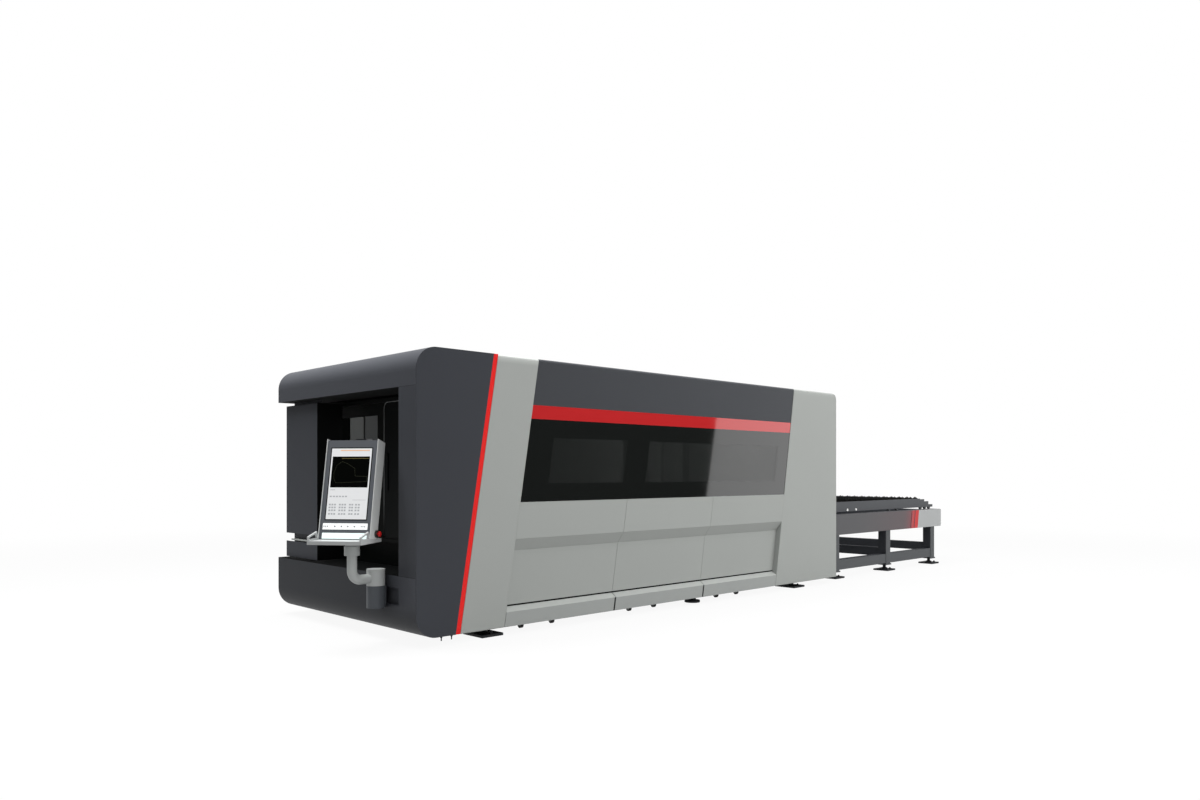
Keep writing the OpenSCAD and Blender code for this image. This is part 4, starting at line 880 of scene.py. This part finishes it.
# %% World and floor
def studio_share(tree):
    """1 for rays that look at the studio: straight from the camera, in a mirror or through glass."""
    path = tree.nodes.new("ShaderNodeLightPath")
    total = path.outputs["Is Camera Ray"]
    for kind in ("Is Glossy Ray", "Is Transmission Ray"):
        added = tree.nodes.new("ShaderNodeMath")
        added.operation = "MAXIMUM"
        tree.links.new(total, added.inputs[0])
        tree.links.new(path.outputs[kind], added.inputs[1])
        total = added.outputs[0]
    return total


world = bpy.data.worlds.new("studio")
scene.world = world
world.use_nodes = True
sky = world.node_tree.nodes["Background"]
sky.inputs["Color"].default_value = (1, 1, 1, 1)
strength = world.node_tree.nodes.new("ShaderNodeMapRange")
ambient = 0.5
strength.inputs["To Min"].default_value, strength.inputs["To Max"].default_value = ambient, 1.0
world.node_tree.links.new(studio_share(world.node_tree), strength.inputs["Value"])
world.node_tree.links.new(strength.outputs[0], sky.inputs["Strength"])


def stage_sheet(name, corners, material):
    """A flat four-cornered stage piece."""
    mesh = bpy.data.meshes.new(name)
    mesh.from_pydata([tuple(c) for c in corners], [], [(0, 1, 2, 3)])
    mesh.materials.append(material)
    sheet = bpy.data.objects.new(name, mesh)
    scene.collection.objects.link(sheet)
    return sheet


floor_finish = Finish("floor_pale", {"Roughness": 0.9, "Specular IOR Level": 0.1})
bounce = floor_finish.node("ShaderNodeLightPath", out="Is Diffuse Ray")
seen_grey, bounced_grey = (0.6, 0.6, 0.6, 1), (0.24, 0.24, 0.24, 1)
floor_finish.feed("Base Color", floor_finish.mix(seen_grey, bounced_grey, bounce))
glow = floor_finish.node("ShaderNodeEmission", None, {"Color": (1, 1, 1, 1), "Strength": 1.0})
blend = floor_finish.tree.nodes.new("ShaderNodeMixShader")
paper_share = 0.92
spot = floor_finish.node("ShaderNodeTexCoord", out="Object")
distance = floor_finish.node("ShaderNodeVectorMath", {"operation": "LENGTH"}, [spot], out="Value")
fade = floor_finish.ramp(distance, 6.0, 15.0)
along_x, along_y = floor_finish.place("X"), floor_finish.place("Y")
cabin_front, cabin_near, cabin_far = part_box("front_wall")[0].x, -0.55, 1.10
under_cabin = (along_x > cabin_front) * (along_x < rear_high.x) * (along_y > cabin_near) * (along_y < cabin_far)
share = Value(floor_finish, studio_share(floor_finish.tree)) * (paper_share + (1 - paper_share) * fade)
share = share * (1 - under_cabin)
floor_finish.tree.links.new(share.socket, blend.inputs[0])
floor_finish.tree.links.new(floor_finish.shader.outputs[0], blend.inputs[1])
floor_finish.tree.links.new(glow.socket, blend.inputs[2])
floor_finish.tree.links.new(blend.outputs[0], floor_finish.tree.nodes["Material Output"].inputs[0])
reach, floor_z = 60.0, -0.001
floor_corners = [(-reach, -reach), (reach, -reach), (reach, reach), (-reach, reach)]
stage_sheet("floor", [(x, y, floor_z) for x, y in floor_corners], floor_finish.material)
print("ambient", ambient, "floor paper share", paper_share)

# %% [markdown]
# Polished glass is photographed against a dark flag, which only reflections see. The upright edge of the one
# on the window side draws the bright right part of the window band: past it the glass mirrors the white studio.
# A second flag stands before the nose. Eight soft lamps light the machine. Most are broad and far off, and two
# small ones light the inside of the cabin and the linings behind the front opening.

# %% Flag and lamps
flag_finish = Finish("flag_black", {"Base Color": (0.004, 0.004, 0.004, 1), "Roughness": 1.0,
                                    "Specular IOR Level": 0.0})
flag_y, flag_left, flag_top = -9.1, -16.0, 9.0
edge_low, edge_lean = 8.92, 0.2
flag = stage_sheet("flag", [(flag_left, flag_y, 0), (edge_low, flag_y, 0),
                            (edge_low + edge_lean * flag_top, flag_y, flag_top),
                            (flag_left, flag_y, flag_top)], flag_finish.material)
front_x, front_near, front_far = -10.5, -5, 26
front_flag = stage_sheet("front_flag", [(front_x, front_near, 0), (front_x, front_far, 0),
                                        (front_x, front_far, flag_top), (front_x, front_near, flag_top)],
                         flag_finish.material)
for card in (flag, front_flag):
    card.visible_camera = card.visible_diffuse = card.visible_shadow = card.visible_transmission = False


def lamp(name, place, target, size, power):
    """A broad rectangular lamp that looks from place to target."""
    data = bpy.data.lights.new(name, "AREA")
    data.shape, data.size, data.size_y, data.energy = "RECTANGLE", *size, power
    made = bpy.data.objects.new(name, data)
    made.location = place
    made.rotation_euler = (Vector(target) - Vector(place)).to_track_quat("-Z", "Y").to_euler()
    made.visible_camera = made.visible_glossy = False
    scene.collection.objects.link(made)
    print(name, power, "W")


lamp("window_side_lamp", (6.0, -8.0, 6.5), (1.5, 0, 0.8), (6, 5), 475)
lamp("left_side_lamp", (-4.5, -9.0, 5.0), (-2.0, -1.0, 1.0), (5, 4), 152)
lamp("nose_lamp", (-5.5, 1.0, 8.0), (-4.0, 0.2, 1.6), (3, 5), 860)
lamp("low_lamp", (0.5, -9.5, 1.6), (0.5, 0, 0.9), (12, 2.4), 190)
lamp("edge_lamp", (0.3, -3.4, 6.0), (0.3, -1.6, 0), (9, 0.6), 75)
lamp("top_lamp", (0, 0, 8.5), (0, 0, 0), (12, 5), 480)
lamp("cabin_lamp", (0.8, 0.2, 2.0), (0.9, 0.7, 0), (1.4, 0.6), 26)
lamp("door_lamp", (-3.35, 0.1, 1.85), (-3.3, 1.1, 1.1), (0.3, 0.5), 2.6)
